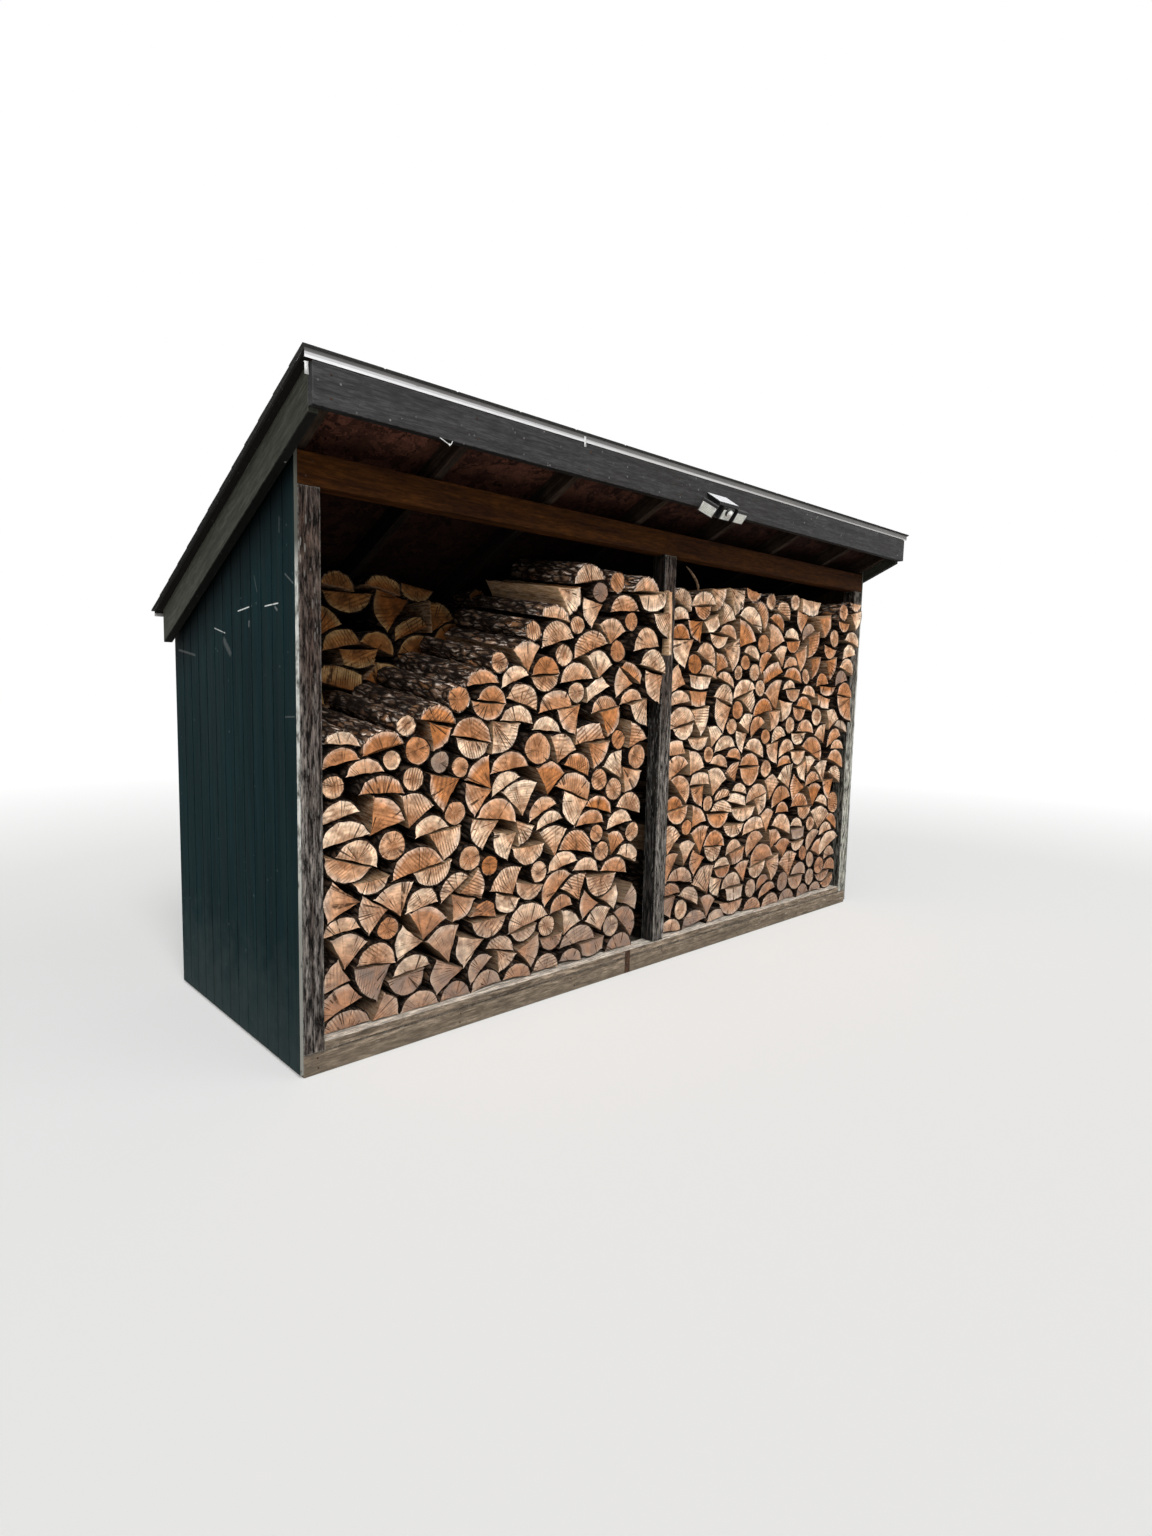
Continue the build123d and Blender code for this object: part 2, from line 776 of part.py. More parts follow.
def lamp_head(across, turn):
    """Flat head on a pivot behind it, turned to the left about an axis that lies in the faces' plane."""
    c, s = math.cos(math.radians(turn)), math.sin(math.radians(turn))
    normal = head_normal * c - Vector(s, 0, 0)
    along = Vector(c, 0, 0) + head_normal * s
    pivot = face_middle + Vector(across, 0, 0) - head_normal * (lamp_head_depth + lamp_pivot)
    back = pivot + normal * lamp_pivot
    half = lamp_head_width / 2
    low = head_upward * -(lamp_face_height + lamp_chin)
    high = head_upward * lamp_brow
    left, right = back - along * half, back + along * half
    corners = [left + low, right + low, right + high, left + high]
    return Solid.extrude(polygon_face(corners), normal * lamp_head_depth)


def sensor_dome():
    """Many-sided collar with a faceted dome, standing out from the middle head's upper edge."""
    rings = [(0.0, 1.0), (0.45, 0.94), (0.8, 0.62), (1.0, 0.3)]
    angles = [2 * math.pi * number / sensor_sides for number in range(sensor_sides)]
    centre = face_middle - head_upward * sensor_drop + head_normal * seat_clearance
    outlines = []
    for along, share in rings:
        reach = sensor_radius * share
        middle = centre + head_normal * (along * sensor_depth)
        sides = [(reach * math.cos(angle), reach * math.sin(angle)) for angle in angles]
        outlines.append([middle + Vector(x, 0, 0) + head_upward * up for x, up in sides])
    faces = [polygon_face(outlines[0]), polygon_face(outlines[-1])]
    for near, far in zip(outlines, outlines[1:]):
        for here in range(sensor_sides):
            after = (here + 1) % sensor_sides
            faces.append(polygon_face([near[here], near[after], far[after], far[here]]))
    return Solid(Shell(faces))


def make_lamp():
    behind = -lamp_head_depth - seat_clearance
    foot = beside_faces(behind, -lamp_face_height)
    brow = beside_faces(behind, 0)
    under_panel = panel_top(brow[0]) - panel_plumb - seat_clearance
    rise = (under_panel - brow[1]) / (head_cosine + head_sine * panel_slope)
    profile = [
        (lamp_back, panel_rear_top - panel_plumb - seat_clearance),
        beside_faces(behind, rise),
        foot,
        (lamp_back, foot[1]),
    ]
    half_housing = lamp_panel_width / 2 - lamp_housing_inset
    left_side, right_side = lamp_from_middle - half_housing, lamp_from_middle + half_housing
    low_arm, high_arm = -(lamp_face_height + lamp_arm) / 2, -(lamp_face_height - lamp_arm) / 2
    rear = behind - lamp_arm
    arm = [beside_faces(behind, low_arm), beside_faces(behind, high_arm)]
    arm += [beside_faces(rear, high_arm), beside_faces(rear, low_arm)]
    turned_aside = (lamp_pivot - seat_clearance) * math.tan(math.radians(lamp_left_turn / 2))
    arm_left = lamp_from_middle - lamp_head_spacing - turned_aside
    arm_right = lamp_from_middle + lamp_head_spacing
    write(
        "lamp_housing",
        plane_profile(profile, left_side, right_side),
        plane_profile(arm, arm_left, left_side - seat_clearance),
        plane_profile(arm, right_side + seat_clearance, arm_right),
    )
    write("lamp_head_left", lamp_head(-lamp_head_spacing, lamp_left_turn))
    write("lamp_head_middle", lamp_head(0.0, 0.0))
    write("lamp_head_right", lamp_head(lamp_head_spacing, 0.0))
    write("lamp_sensor", sensor_dome())
    front = lamp_back - lamp_panel_run
    panel = [
        (lamp_back, panel_rear_top - panel_plumb),
        (front, panel_top(front) - panel_plumb),
        (front, panel_top(front)),
        (lamp_back, panel_rear_top),
    ]
    panel_left = lamp_from_middle - lamp_panel_width / 2
    write("lamp_solar_panel", plane_profile(panel, panel_left, panel_left + lamp_panel_width))


make_base()
make_posts()
make_roof_timbers()
make_covering()
make_walls()
make_firewood()
make_lamp()
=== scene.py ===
import math
import bpy
import numpy as np
from mathutils import Matrix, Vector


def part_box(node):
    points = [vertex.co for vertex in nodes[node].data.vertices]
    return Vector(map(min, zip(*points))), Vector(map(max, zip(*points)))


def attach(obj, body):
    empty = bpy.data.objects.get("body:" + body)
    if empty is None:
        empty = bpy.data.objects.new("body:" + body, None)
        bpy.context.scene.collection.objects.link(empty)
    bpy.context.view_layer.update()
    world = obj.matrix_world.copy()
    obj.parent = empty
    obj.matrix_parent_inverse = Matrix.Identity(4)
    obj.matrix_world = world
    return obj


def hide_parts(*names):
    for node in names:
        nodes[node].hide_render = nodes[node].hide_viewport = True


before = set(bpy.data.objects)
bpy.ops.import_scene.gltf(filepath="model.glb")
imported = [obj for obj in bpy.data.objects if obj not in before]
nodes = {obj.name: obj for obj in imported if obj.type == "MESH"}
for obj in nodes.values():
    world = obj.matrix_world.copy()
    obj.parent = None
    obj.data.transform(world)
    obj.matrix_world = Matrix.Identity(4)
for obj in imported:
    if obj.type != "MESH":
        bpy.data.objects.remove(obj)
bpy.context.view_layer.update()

scene = bpy.context.scene
scene.view_settings.view_transform = "Standard"
print("frame loaded,", len(nodes), "nodes")


# Camera: focal length in pixels of a 1152 x 1536 picture, place and axes in the row frame

view = {
    "place": (-3.411, -2.901, 1.552),
    "right": (0.7280, -0.68514, 0.02385),
    "up": (0.0530, 0.09097, 0.99444),
    "focalPixels": 813.0,
    "longSidePixels": 1536.0,
    "sensorWidth": 36.0,
    "clipEnd": 200.0,
}


def placed(place, right, up, back):
    # Matrix of something at a place with these three directions as its own
    rows = np.eye(4)
    rows[:3, :3] = np.column_stack([right, up, back])
    rows[:3, 3] = place
    return Matrix(rows.tolist())


def makeCamera():
    data = bpy.data.cameras.new("photoCamera")
    data.sensor_width = view["sensorWidth"]
    data.lens = view["focalPixels"] / view["longSidePixels"] * view["sensorWidth"]
    data.clip_end = view["clipEnd"]
    camera = bpy.data.objects.new("photoCamera", data)
    scene.collection.objects.link(camera)
    right = np.array(view["right"]) / np.linalg.norm(view["right"])
    back = np.cross(right, view["up"])
    back /= np.linalg.norm(back)
    camera.matrix_world = placed(view["place"], right, np.cross(back, right), back)
    scene.camera = camera


# Stage: pale floor that fades into white surroundings, one broad key light high in front and two weak ones.
# The floor glows a little to the camera, but not inside the shed, whose half length and depth are given

stage = {
    "floorSize": 90.0, "floorLevel": -0.0005, "floorColour": (0.80, 0.80, 0.79), "floorLift": 0.16,
    "shadeHalf": 2.08, "shadeDepth": 1.33, "fadeFrom": 5.0, "fadeTo": 11.0, "surroundLight": 0.12,
    "lights": {
        "keyLight": {"toward": (-3.2, -6.5, 6.2), "spread": 34.0, "power": 2.55},
        "sideLight": {"toward": (-8.0, -2.6, 3.4), "spread": 60.0, "power": 0.55},
        "rightLight": {"toward": (5.0, -7.0, 3.6), "spread": 60.0, "power": 0.60},
    },
}


def makeFloor():
    # Share of white: nothing near the object, all of it beyond the fade
    half, level = stage["floorSize"] / 2, stage["floorLevel"]
    mesh = bpy.data.meshes.new("floor")
    mesh.from_pydata([(-half, -half, level), (half, -half, level), (half, half, level), (-half, half, level)],
                     [], [(0, 1, 2, 3)])
    floor = bpy.data.objects.new("floor", mesh)
    scene.collection.objects.link(floor)
    material = newMaterial("paleFloor", rough=0.9, shine=0.1)
    coords = objectCoords(material)
    parts = partsOf(coords)
    seen = wiresOf(addNode("LightPath", {}, material.node_tree))["Is Camera Ray"]
    far = spread(vectorCalc("LENGTH", coords), stage["fadeFrom"], stage["fadeTo"]) * seen
    outside = (abs(parts["X"]) > stage["shadeHalf"]) | (parts["Y"] < 0.0) | (parts["Y"] > stage["shadeDepth"])
    setInputs(shaderOf(material), {
        "Base Color": blend(far, stage["floorColour"], (0.0, 0.0, 0.0)), "Emission Color": (1.0, 1.0, 1.0),
        "Emission Strength": fade(far, seen * outside * stage["floorLift"], 1.0),
    })
    mesh.materials.append(material)


def makeSurroundings():
    # White to the camera and in reflections, weak as a light
    world = bpy.data.worlds.new("surroundings")
    world.use_nodes = True
    scene.world = world
    rays = wiresOf(addNode("LightPath", {}, world.node_tree))
    seen = rays["Is Camera Ray"] | rays["Is Glossy Ray"] | rays["Is Transmission Ray"]
    strength = spread(seen, 0.0, 1.0, stage["surroundLight"], 1.0)
    setInputs(world.node_tree.nodes["Background"], {"Color": (1.0, 1.0, 1.0), "Strength": strength})


def makeLights():
    for name, values in stage["lights"].items():
        data = bpy.data.lights.new(name, "SUN")
        data.angle = math.radians(values["spread"])
        data.energy = values["power"]
        light = bpy.data.objects.new(name, data)
        scene.collection.objects.link(light)
        back = np.array(values["toward"]) / np.linalg.norm(values["toward"])
        right = np.cross((0.0, 0.0, 1.0), back)
        right /= np.linalg.norm(right)
        light.matrix_world = placed(values["toward"], right, np.cross(back, right), back)


# Node trees. A wire is one output of a node, and arithmetic with wires adds the nodes that do it

class Wire:
    def __init__(self, socket):
        self.socket = socket

    def __add__(self, other):
        return calc("ADD", self, other)

    def __sub__(self, other):
        return calc("SUBTRACT", self, other)

    def __rsub__(self, other):
        return calc("SUBTRACT", other, self)

    def __mul__(self, other):
        return calc("MULTIPLY", self, other)

    def __truediv__(self, other):
        return calc("DIVIDE", self, other)

    def __gt__(self, other):
        return calc("GREATER_THAN", self, other)

    def __lt__(self, other):
        return calc("LESS_THAN", self, other)

    def __or__(self, other):
        return calc("MAXIMUM", self, other)

    def __abs__(self):
        return calc("ABSOLUTE", self)


def setInputs(node, values):
    # Wires are linked and plain values set, and a colour of three numbers gets its fourth
    for key, value in values.items():
        socket = node.inputs[key]
        if isinstance(value, Wire):
            node.id_data.links.new(value.socket, socket)
        elif socket.type == "RGBA":
            socket.default_value = (*value, 1.0)
        else:
            socket.default_value = value
    return node


def addNode(kind, values, tree=None, **settings):
    # Without a tree, the node goes where the first wire among its values comes from
    if tree is None:
        tree = next(value.socket.id_data for value in values.values() if isinstance(value, Wire))
    node = tree.nodes.new("ShaderNode" + kind)
    for key, value in settings.items():
        setattr(node, key, value)
    return setInputs(node, values)


def wiresOf(node):
    return {socket.name: Wire(socket) for socket in node.outputs}


def first(node):
    return Wire(node.outputs[0])


def calc(operation, *values):
    return first(addNode("Math", dict(enumerate(values)), operation=operation))


def vectorCalc(operation, *values):
    node = addNode("VectorMath", dict(enumerate(values)), operation=operation)
    return wiresOf(node)["Value" if operation in ("LENGTH", "DISTANCE", "DOT_PRODUCT") else "Vector"]


def scaled(vector, factors):
    return vectorCalc("MULTIPLY", vector, factors)


def rotated(vector, axis, angle):
    return first(addNode("VectorRotate", {"Vector": vector, "Angle": angle}, rotation_type=axis + "_AXIS"))


def combined(x, y, z):
    return first(addNode("CombineXYZ", {"X": x, "Y": y, "Z": z}))


def partsOf(vector):
    return wiresOf(addNode("SeparateXYZ", {"Vector": vector}))


def spread(value, low, high, outLow=0.0, outHigh=1.0):
    # Takes low to outLow and high to outHigh, and stays between them
    values = {"Value": value, "From Min": low, "From Max": high, "To Min": outLow, "To Max": outHigh}
    return first(addNode("MapRange", values))


def fade(share, under, over):
    return first(addNode("Mix", {0: share, 2: under, 3: over}))


def blend(share, under, over, how="MIX"):
    return Wire(addNode("Mix", {0: share, 6: under, 7: over}, data_type="RGBA", blend_type=how).outputs[2])


def layered(base, *layers):
    # Each layer is a mask, its strength and its colour
    for mask, strength, tone in layers:
        base = blend(mask * strength, base, tone)
    return base


def shaded(base, *factors):
    for factor in factors:
        base = blend(1.0, base, factor, "MULTIPLY")
    return base


def noiseOf(vector, scale, detail=3.0, rough=0.55, twist=0.0):
    values = {"Vector": vector, "Scale": scale, "Detail": detail, "Roughness": rough, "Distortion": twist}
    return first(addNode("TexNoise", values))


def ragged(vector, amount, scale, detail=3.0, rough=0.55):
    # Noise about nought
    return (noiseOf(vector, scale, detail, rough) - 0.5) * amount


def cellsOf(vector, scale, feature="F1"):
    return wiresOf(addNode("TexVoronoi", {"Vector": vector, "Scale": scale}, feature=feature))


def channelsOf(tone):
    return [Wire(socket) for socket in addNode("SeparateColor", {"Color": tone}).outputs]


def newGroup(name, takes, gives):
    # Inputs come with their start values, None for a vector that is always linked. Outputs are numbers
    tree = bpy.data.node_groups.new(name, "ShaderNodeTree")
    for label, value in takes.items():
        kind = "NodeSocketFloat" if isinstance(value, float) else "NodeSocketVector"
        socket = tree.interface.new_socket(name=label, in_out="INPUT", socket_type=kind)
        if value is not None:
            socket.default_value = value
    for label in gives:
        tree.interface.new_socket(name=label, in_out="OUTPUT", socket_type="NodeSocketFloat")
    return wiresOf(tree.nodes.new("NodeGroupInput")), tree.nodes.new("NodeGroupOutput")


def useGroup(group, values):
    return wiresOf(addNode("Group", values, node_tree=group))


def speckle(vector, scale, share, size):
    return useGroup(chipSpeckle, {"Vector": vector, "Scale": scale, "Share": share, "Size": size})["Mask"]


def newMaterial(name, rough, shine=0.5, coat=0.0, coatRough=0.03):
    material = bpy.data.materials.new(name)
    material.use_nodes = True
    setInputs(shaderOf(material), {"Roughness": rough, "Specular IOR Level": shine, "Coat Weight": coat,
                                   "Coat Roughness": coatRough})
    return material


def shaderOf(material):
    return material.node_tree.nodes["Principled BSDF"]


def finished(material, tone, height=None, strength=1.0, distance=0.0):
    shader = shaderOf(material)
    setInputs(shader, {"Base Color": tone})
    if height is not None:
        bump = addNode("Bump", {"Height": height, "Strength": strength, "Distance": distance})
        setInputs(shader, {"Normal": first(bump)})
    return material


def objectCoords(material):
    return wiresOf(addNode("TexCoord", {}, material.node_tree))["Object"]


def grainCoords(material, slope):
    # Turned about the length, so that sloping timbers lie level
    coords = objectCoords(material)
    return rotated(coords, "X", math.radians(slope)) if slope else coords


def facingOf(material):
    return partsOf(wiresOf(addNode("NewGeometry", {}, material.node_tree))["True Normal"])


def attributeOf(material, name):
    return wiresOf(addNode("Attribute", {}, material.node_tree, attribute_name=name))


# Shared effects

def makeTimberFibre():
    # Streaks: noise squeezed across the grain. Checks: thin lines where a stretched noise crosses its mean.
    # Mottle: finer noise, squeezed less. Knot: the middles of sparse cells
    takes, result = newGroup("timberFibre", {"Vector": None, "Along": (0.06, 1.0, 1.0), "Knots": 0.0},
                             ["Streaks", "Fibres", "Mottle", "Checks", "Knot"])
    drawn = scaled(takes["Vector"], takes["Along"])
    shorter = scaled(takes["Vector"], vectorCalc("POWER", takes["Along"], (0.68, 0.68, 0.68)))
    crossing = abs(noiseOf(drawn, 52.0, 3.0, 0.5, 0.7) - 0.5)
    knot = spread(cellsOf(shorter, 5.5)["Distance"], 0.05, 0.11, 1.0, 0.0)
    return setInputs(result, {
        "Streaks": spread(noiseOf(drawn, 34.0, 4.0, 0.6, 0.25), 0.34, 0.66),
        "Fibres": noiseOf(drawn, 330.0, 2.0, 0.6),
        "Mottle": spread(noiseOf(shorter, 84.0, 5.0, 0.74), 0.43, 0.59),
        "Checks": spread(crossing, 0.0, 0.022, 1.0, 0.0) * spread(noiseOf(drawn, 14.0, 2.0), 0.48, 0.6),
        "Knot": knot * takes["Knots"],
    }).id_data


def makeEdgeWear():
    # Worn edges: where a rounded normal turns away from the surface's own one, broken up by noise
    takes, result = newGroup("edgeWear", {"Vector": None, "Width": 0.004, "Amount": 0.5}, ["Mask"])
    rounded = first(addNode("Bevel", {"Radius": takes["Width"]}, samples=4))
    flat = wiresOf(addNode("NewGeometry", {}, result.id_data))["Normal"]
    edge = spread(vectorCalc("DOT_PRODUCT", rounded, flat), 0.99, 0.86)
    broken = spread(noiseOf(takes["Vector"], 38.0, 4.0, 0.7), 0.62, 0.42)
    return setInputs(result, {"Mask": edge * broken * takes["Amount"]}).id_data


def makeWeatherStains():
    # Runs: noise stretched upwards. Patches: broad noise. Soil: fades out above the ground
    takes, result = newGroup("weatherStains", {"Vector": None, "Soil Height": 0.35},
                             ["Runs", "Patches", "Soil"])
    vector = takes["Vector"]
    level = partsOf(vector)["Z"] / takes["Soil Height"] + ragged(vector, 1.4, 9.0, 4.0, 0.65)
    return setInputs(result, {
        "Runs": spread(noiseOf(scaled(vector, (1.0, 1.0, 0.09)), 13.0, 4.0, 0.6), 0.45, 0.68),
        "Patches": spread(noiseOf(vector, 2.3, 5.0, 0.6), 0.36, 0.66),
        "Soil": spread(level, 0.0, 1.0, 1.0, 0.0),
    }).id_data


def makeChipSpeckle():
    # Chips: the middles of small cells, kept where the cell's own random value is low, in patches
    takes, result = newGroup("chipSpeckle", {"Vector": None, "Scale": 60.0, "Share": 0.2, "Size": 0.25},
                             ["Mask"])
    cells = cellsOf(takes["Vector"], takes["Scale"])
    chance, size, _ = channelsOf(cells["Color"])
    inside = cells["Distance"] < takes["Size"] * size
    area = spread(noiseOf(takes["Vector"], 4.0, 3.0), 0.45, 0.6)
    return setInputs(result, {"Mask": (chance < takes["Share"]) * inside * area}).id_data


def makeStrokeMark():
    # Short paint stroke: distance to a line between two points, ragged at its rim
    takes, result = newGroup("strokeMark", {"Vector": None, "Start": None, "End": None, "Width": 0.01},
                             ["Mask"])
    run = vectorCalc("SUBTRACT", takes["End"], takes["Start"])
    away = vectorCalc("SUBTRACT", takes["Vector"], takes["Start"])
    share = spread(vectorCalc("DOT_PRODUCT", away, run) / vectorCalc("DOT_PRODUCT", run, run), 0.0, 1.0)
    nearest = first(addNode("VectorMath", {0: run, "Scale": share}, operation="SCALE"))
    widths = vectorCalc("DISTANCE", away, nearest) / takes["Width"]
    mask = spread(widths + ragged(takes["Vector"], 0.9, 90.0), 0.35, 0.75, 1.0, 0.0)
    return setInputs(result, {"Mask": mask}).id_data


growth = {"ringSpacing": 0.0042, "wobble": 0.022, "crackWidths": (0.026, 0.009), "sawRates": (290.0, 540.0)}


def makeGrowthRings():
    # Rings: waves of the distance from the pith. Bands: noise of that distance. Heart and rim: its share
    # of the log's radius. Cracks: noise of the angle round the pith. Saw: straight waves
    takes, result = newGroup("growthRings", {"Vector": None, "Seed": 0.0, "Reach": 0.1},
                             ["Rings", "Bands", "Heart", "Rim", "Cracks", "Saw"])
    vector, seed = takes["Vector"], takes["Seed"]
    moved = vectorCalc("ADD", vector, combined(seed * 37.0, 0.0, seed))
    reach = vectorCalc("LENGTH", vector) + ragged(moved, growth["wobble"], 14.0, 2.0)
    share = reach / takes["Reach"]
    parts = partsOf(vector)
    angle = calc("ARCTAN2", parts["Y"], parts["X"])
    turn = combined(calc("SINE", angle), calc("COSINE", angle), seed)
    spoke = abs(noiseOf(scaled(turn, (3.6, 3.6, 9.0)), 1.0, 2.0, 0.6) - 0.5)
    crack = spoke < spread(share, 0.0, 1.0, *growth["crackWidths"])
    across = partsOf(rotated(vector, "Z", seed * 40.0))["X"] + noiseOf(moved, 9.0, 2.0) * 0.012
    rate = spread(calc("FRACT", seed * 13.7), 0.0, 1.0, *growth["sawRates"])
    return setInputs(result, {
        "Rings": spread(calc("SINE", reach * (2 * math.pi / growth["ringSpacing"])), -0.2, 1.0),
        "Bands": spread(noiseOf(combined(reach * 60.0, seed, 0.3), 1.0, 2.0), 0.35, 0.68),
        "Heart": spread(share, 0.3, 0.62, 1.0, 0.0),
        "Rim": spread(share, 0.74, 0.93),
        "Cracks": crack * spread(noiseOf(moved, 20.0, 2.0), 0.42, 0.51),
        "Saw": spread(calc("SINE", across * rate), -0.1, 0.7) * spread(noiseOf(moved, 17.0, 3.0), 0.36, 0.56),
    }).id_data


def makeStrandFlakes():
    # Flakes: three layers of long cells, each layer turned its own way and picked by noise
    takes, result = newGroup("strandFlakes", {"Vector": None, "Flake": 16.0}, ["Tone", "Rim"])
    tones, rims = [], []
    for number, angle in enumerate((12.0, 74.0, 131.0)):
        drawn = scaled(rotated(takes["Vector"], "Z", math.radians(angle)), (0.28, 1.0, 0.3))
        cells = cellsOf(vectorCalc("ADD", drawn, (number * 3.7, number * 1.9, 0.0)), takes["Flake"])
        tones.append(channelsOf(cells["Color"])[0])
        rims.append(cells["Distance"])
    pick = noiseOf(takes["Vector"], 26.0, 2.0)
    middle, top = pick > 0.47, pick > 0.54
    tone, rim = (fade(top, fade(middle, layers[0], layers[1]), layers[2]) for layers in (tones, rims))
    return setInputs(result, {"Tone": tone, "Rim": rim}).id_data


timberFibre = makeTimberFibre()
edgeWear = makeEdgeWear()
weatherStains = makeWeatherStains()
chipSpeckle = makeChipSpeckle()
strokeMark = makeStrokeMark()
growthRings = makeGrowthRings()
strandFlakes = makeStrandFlakes()
print("shared effects made,", len(bpy.data.node_groups), "groups")


# Timber finishes. Light and dark are the grain's two tones, worn is the bare edge, which on the posts is a
# painted highlight too, and stain lies in patches and runs. Upper tone is the darker brown towards the top,
# bleached the paler one away from the left end. Painted shades darken faces turned sideways, faces turned
# down and wood deeper inside, and the top painted highlight makes upward faces pale. Shares and shades go
# from 0 to 1, and a shade of 1 leaves the tone as it is

timbers = {
    "weatheredPost": {
        "light": (0.236, 0.216, 0.198), "dark": (0.013, 0.009, 0.007), "worn": (0.46, 0.44, 0.40),
        "stain": (0.036, 0.020, 0.014), "stainShare": 0.5, "wear": 0.9, "checks": 1.0, "knots": 0.8,
        "soilHeight": 0.05, "rough": 0.92, "shine": 0.12, "bump": 0.0032, "mottle": 0.94, "flecks": 0.45,
        "upperTone": (0.040, 0.024, 0.018), "upperShare": 0.80, "upperFrom": 1.0, "upperTo": 1.75,
        "bleached": (0.40, 0.395, 0.34), "bleachFrom": -0.2, "bleachTo": 2.0, "bleachShare": 0.70,
        "paintedSideShade": 0.22, "wearAndHighlightWidth": 0.009,
    },
    "baseTimber": {
        "light": (0.37, 0.29, 0.212), "dark": (0.085, 0.060, 0.042), "worn": (0.74, 0.67, 0.58),
        "stain": (0.120, 0.098, 0.074), "stainShare": 0.5, "wear": 1.0, "checks": 0.9, "knots": 0.6,
        "soilHeight": 0.12, "rough": 0.93, "shine": 0.12, "bump": 0.0022, "mottle": 0.40, "flecks": 0.2,
        "topPaintedHighlight": 0.75, "seam": 0.089, "seamWidths": (0.0050, 0.0080), "seamShare": 0.9,
        "seamColour": (0.030, 0.022, 0.015),
    },
    "stainedBeam": {
        "light": (0.079, 0.0265, 0.0045), "dark": (0.023, 0.0068, 0.0014), "worn": (0.125, 0.052, 0.018),
        "stain": (0.020, 0.008, 0.004), "stainShare": 0.45, "wear": 0.5, "checks": 0.4, "knots": 0.7,
        "soilHeight": 0.01, "rough": 0.75, "shine": 0.06, "bump": 0.0008, "mottle": 0.28,
    },
    "charcoalTrim": {
        "light": (0.058, 0.058, 0.060), "dark": (0.026, 0.025, 0.026), "worn": (0.15, 0.145, 0.14),
        "stain": (0.024, 0.021, 0.019), "stainShare": 0.45, "wear": 0.7, "checks": 0.2, "knots": 0.2,
        "soilHeight": 0.01, "rough": 0.7, "shine": 0.14, "bump": 0.0008, "chips": 0.06, "mottle": 0.22,
        "paintedUnderShade": 0.25,
    },
    "bargeTrim": {
        "light": (0.056, 0.057, 0.043), "dark": (0.027, 0.028, 0.021), "worn": (0.15, 0.145, 0.12),
        "stain": (0.020, 0.021, 0.015), "stainShare": 0.5, "wear": 0.6, "checks": 0.2, "knots": 0.15,
        "soilHeight": 0.01, "rough": 0.72, "shine": 0.14, "bump": 0.0008, "chips": 0.04, "mottle": 0.22,
        "paintedUnderShade": 0.10,
    },
    "roughTimber": {
        "light": (0.044, 0.028, 0.019), "dark": (0.012, 0.008, 0.006), "worn": (0.08, 0.058, 0.04),
        "stain": (0.014, 0.009, 0.006), "stainShare": 0.5, "wear": 0.3, "checks": 0.4, "knots": 0.7,
        "soilHeight": 0.01, "rough": 0.9, "shine": 0.08, "bump": 0.0014, "mottle": 0.3, "paintedInnerShade": 0.30,
    },
}
timberCover = {
    "chip": (0.30, 0.29, 0.275), "soil": (0.13, 0.105, 0.075), "wearAndHighlightWidth": 0.005, "innerDepth": 0.3,
}
grainRuns = {"X": (0.06, 1.0, 1.0), "Y": (1.0, 0.06, 1.0), "Z": (1.0, 1.0, 0.06)}


